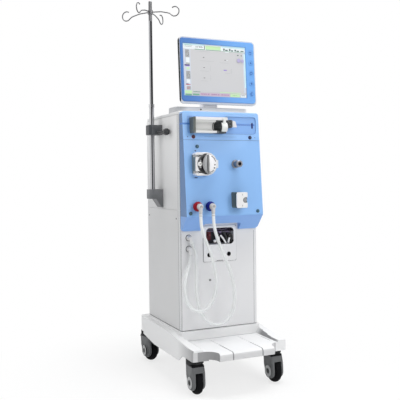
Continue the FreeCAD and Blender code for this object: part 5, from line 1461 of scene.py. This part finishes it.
# The monitor
@dataclass
class Monitor(Assembly):
    """Shell, bezel, picture, keys and stand."""

    width: float = 304.0
    height: float = 228.0
    key_x: float = 177.0
    key_tops: tuple[float, ...] = (91.5, 44.9, -1.7, -48.3, -94.9)
    mark_y: float = -0.35

    def looks(self) -> dict[str, Finish]:
        """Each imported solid's node and its finish."""
        return {"swivel_plate": Finishes.plate, "monitor_neck": Finishes.neck,
                "monitor_shell": Finishes.shell, "monitor_bezel": Finishes.bezel,
                "display_panel": Finishes.glass,
                **{f"monitor_key_{i + 1}": Finishes.key for i in range(len(self.key_tops))}}

    def build(self) -> None:
        """Add the plate's lamp, the picture and the keys' marks."""
        lamp = turned("lamp", [(0, -0.5), (3.4, -0.5), (3.4, 0.8), (2.4, 1.4), (0, 1.5)],
                      (-58, -42.0, 1190), Axis.FRONT, 24)
        fit("plate_lamp", [lamp], Finishes.black)
        self.picture()
        for i, z in enumerate(self.key_tops):
            piece = leaned(joined(f"key_mark_{i + 1}", self.sign(i, z)))
            fit(piece.name, [piece], Finishes.key_mark, f"key_{i + 1}", ROUND_SMOOTH)

    def tile(self, u0: float, v0: float, u1: float, v1: float, layer: int = 0) -> Piece:
        """A thin flat tile of the picture.

        Args:
            u0: left edge, as a share of the screen's width from the left.
            v0: upper edge, as a share of its height from the top.
            u1: right edge.
            v1: lower edge.
            layer: how many films lie under it.

        Returns:
            The tile, upright about the screen's centre.
        """
        x0, x1 = (u0 - 0.5) * self.width, (u1 - 0.5) * self.width
        z0, z1 = (0.5 - v1) * self.height, (0.5 - v0) * self.height
        y = 3.2 - layer * 0.12
        return block("tile", (x0, y, z0), (x1, y + 0.28, z1), 0.06, 1)

    def lettering(self, u0: float, v0: float, u1: float, v1: float, rows: int,
                  marks: int) -> list[tuple[float, float, float, float, int]]:
        """Rows of short strokes that stand for small print.

        Args:
            u0: left edge of the print.
            v0: upper edge.
            u1: right edge.
            v1: lower edge.
            rows: how many lines.
            marks: how many strokes in a line.

        Returns:
            The strokes as tiles.
        """
        strokes = []
        pitch_u, pitch_v = (u1 - u0) / marks, (v1 - v0) / rows
        for row in range(rows):
            for mark in range(marks):
                if (row * 5 + mark * 3) % 7 == 4:
                    continue
                u, v = u0 + mark * pitch_u, v0 + row * pitch_v
                wide = pitch_u * (0.45 + 0.1 * ((row + mark * 2) % 4))
                strokes.append((u, v, u + wide, v + pitch_v * 0.55, 2))
        return strokes

    def page(self) -> dict[tuple[str, Colour], list[tuple]]:
        """Lay out a plain made-up status page: bars, fields, tabs and gauges.

        Returns:
            Each film's name and colour to its tiles.
        """
        return {
            ("page_white", (0.80, 0.85, 0.87)): [
                (0.0, 0.0, 1.0, 0.105, 0), (0.045, 0.27, 0.095, 0.37, 1),
                (0.045, 0.69, 0.095, 0.755, 1), (0.90, 0.945, 0.99, 0.99, 1),
                (0.665, 0.11, 0.73, 0.125, 1), (0.69, 0.27, 0.705, 0.284, 1)],
            ("page_mist", (0.60, 0.64, 0.72)): [
                (0.0, 0.105, 0.115, 0.90, 0), (0.955, 0.105, 1.0, 0.90, 0)],
            ("page_ice", (0.60, 0.84, 0.88)): [
                (0.0, 0.0, 0.34, 0.03, 1), (0.62, 0.0, 1.0, 0.035, 1),
                (0.975, 0.13, 1.0, 0.80, 1), (0.0, 0.90, 0.012, 1.0, 1)],
            ("page_green", (0.55, 0.80, 0.44)): [
                (0.355, 0.022, 0.60, 0.092, 1), (0.012, 0.90, 0.12, 0.955, 1),
                (0.73, 0.935, 0.885, 0.99, 1), (0.05, 0.46, 0.09, 0.50, 1),
                (0.56, 0.905, 0.90, 0.918, 1)],
            ("page_leaf", (0.16, 0.40, 0.26)): [
                (0.012, 0.965, 0.115, 0.995, 1), (0.13, 0.955, 0.235, 0.985, 1),
                (0.14, 0.915, 0.25, 0.925, 1), (0.36, 0.096, 0.61, 0.106, 1),
                (0.185, 0.096, 0.335, 0.108, 1), (0.625, 0.100, 0.995, 0.107, 1),
                (0.03, 0.03, 0.15, 0.036, 1)],
            ("page_dark", (0.06, 0.12, 0.11)): [
                (0.64, 0.05, 0.665, 0.09, 1), (0.672, 0.07, 0.715, 0.095, 1),
                (0.735, 0.05, 0.76, 0.09, 1), (0.768, 0.07, 0.80, 0.095, 1),
                (0.825, 0.055, 0.85, 0.09, 1), (0.858, 0.072, 0.90, 0.095, 1),
                (0.925, 0.07, 0.975, 0.09, 1), (0.335, 0.02, 0.345, 0.1, 1),
                (0.865, 0.155, 0.89, 0.175, 1), (0.925, 0.16, 0.945, 0.175, 1),
                *self.lettering(0.035, 0.055, 0.14, 0.07, 1, 6),
                *self.lettering(0.20, 0.045, 0.325, 0.075, 2, 7),
                *self.lettering(0.145, 0.912, 0.25, 0.926, 1, 8),
                *self.lettering(0.915, 0.95, 0.975, 0.975, 1, 4),
                *self.lettering(0.765, 0.955, 0.85, 0.968, 1, 5)],
            ("page_grey", (0.40, 0.41, 0.42)): [
                (0.035, 0.12, 0.10, 0.27, 1), (0.04, 0.37, 0.10, 0.40, 1),
                (0.04, 0.53, 0.105, 0.685, 1), (0.04, 0.82, 0.105, 0.885, 1)],
            ("page_ink", (0.16, 0.16, 0.17)): [
                *self.lettering(0.04, 0.125, 0.095, 0.26, 5, 3),
                *self.lettering(0.045, 0.54, 0.10, 0.67, 5, 3),
                (0.31, 0.245, 0.332, 0.26, 1), (0.655, 0.27, 0.675, 0.284, 1),
                (0.31, 0.44, 0.335, 0.453, 1), (0.31, 0.64, 0.335, 0.652, 1)],
            ("page_line", (0.47, 0.48, 0.49)): [
                (0.26, 0.315, 0.48, 0.32, 1), (0.58, 0.33, 0.72, 0.335, 1),
                (0.26, 0.51, 0.40, 0.515, 1), (0.66, 0.53, 0.74, 0.535, 1),
                (0.42, 0.40, 0.424, 0.50, 1), (0.42, 0.59, 0.424, 0.69, 1),
                (0.76, 0.44, 0.764, 0.53, 1), (0.27, 0.70, 0.37, 0.705, 1),
                (0.25, 0.918, 0.88, 0.922, 1), (0.26, 0.135, 0.42, 0.139, 1)],
            ("page_navy", (0.05, 0.03, 0.17)): [
                (0.018, 0.405, 0.10, 0.43, 1), (0.03, 0.772, 0.07, 0.782, 2)],
            ("page_violet", (0.34, 0.24, 0.66)): [
                (0.635, 0.465, 0.685, 0.485, 1), (0.03, 0.43, 0.09, 0.44, 1)],
            ("page_pink", (0.56, 0.40, 0.54)): [
                (0.245, 0.935, 0.405, 0.985, 1), (0.41, 0.935, 0.565, 0.985, 1),
                (0.57, 0.935, 0.72, 0.985, 1)],
            ("page_plum", (0.20, 0.08, 0.20)): [
                *self.lettering(0.262, 0.953, 0.398, 0.972, 1, 9),
                *self.lettering(0.425, 0.953, 0.556, 0.972, 1, 9),
                *self.lettering(0.585, 0.953, 0.712, 0.972, 1, 9)],
            ("page_red", (0.50, 0.10, 0.12)): [
                (0.03, 0.782, 0.10, 0.795, 1), *self.lettering(0.05, 0.83, 0.10, 0.88, 2, 3)],
        }

    def picture(self) -> None:
        """Set the page's films and its two discs on the screen."""
        for (name, colour), tiles in self.page().items():
            ink = tuple(0.9 * share for share in colour)
            finish = Finish(name + "_film", ink, 0.3, mottle=0.03, grain=0.0, wear=0.0,
                            specular=0.2, glow=0.1)
            fit(name, [leaned(joined(name, [self.tile(*t) for t in tiles]))], finish,
                "monitor")
        discs = [turned("disc", [(0, 0), (radius, 0), (radius, 0.2), (0, 0.2)],
                        ((u - 0.5) * self.width, 3.3, (0.5 - v) * self.height),
                        Axis.FRONT, 32)
                 for u, v, radius in ((0.885, 0.27, 9.0), (0.945, 0.275, 7.0))]
        finish = Finish("page_lilac_film", (0.42, 0.38, 0.60), 0.3, grain=0.0, wear=0.0,
                        specular=0.2, glow=0.1)
        fit("page_lilac", [leaned(joined("page_lilac", discs))], finish, "monitor")

    def sign(self, key: int, z: float) -> list[Piece]:
        """Model the plain symbol of a key, each key its own.

        Args:
            key: the key's place from the top, from nought.
            z: its height over the screen's centre.

        Returns:
            The symbol's meshes, upright about the screen's centre.
        """
        x, y = self.key_x, self.mark_y
        if key == 1:
            return [pressed("mark", [(x - 3, z - 4), (x + 4, z), (x - 3, z + 4)], y - 0.2,
                            0.4, 0.1)]
        if key == 2:
            return [drawn("mark", [(a, y, b) for a, b in arc((x, z), 5.5, 0, 330, 12)], 0.9,
                          True)]
        if key == 4:
            return [drawn("mark", [(a, y, b) for a, b in arc((x, z), 5.5, 60, 300)], 1.2)]
        strokes = {0: ([(-5, 4), (0, -4), (5, 4)], [(-4, -6), (4, -6)]),
                   3: ([(0, -5), (0, 5)], [(-5, 0), (5, 0)])}[key]
        return [drawn("mark", [(x + a, y, z + b) for a, b in stroke], 0.9)
                for stroke in strokes]


# The pole
@dataclass
class Pole(Assembly):
    """Brackets, tubes, hooks and knob."""

    def looks(self) -> dict[str, Finish]:
        """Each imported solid's node and its finish."""
        return {"pole_brackets": Finishes.bracket, "pole_tube": Finishes.chrome,
                "pole_extension": Finishes.thin_chrome, "clamp_knob": Finishes.knob}


def main() -> None:
    """Build the scene, one sub-assembly after another."""
    logging.basicConfig(level=logging.INFO, format="%(message)s")
    studio = Studio()
    studio.camera()
    for hose in hoses():
        hose.build()
    studio.lamps()
    studio.floor()
    studio.world()
    for assembly in (RunningGear(), Cabinet(), Fascia(), SyringePump(), BloodPump(), Bay(),
                     Monitor(), Pole()):
        assembly.dress()
        assembly.build()
        LOG.info("finished %s", type(assembly).__name__)


if __name__ == "__main__":
    main()
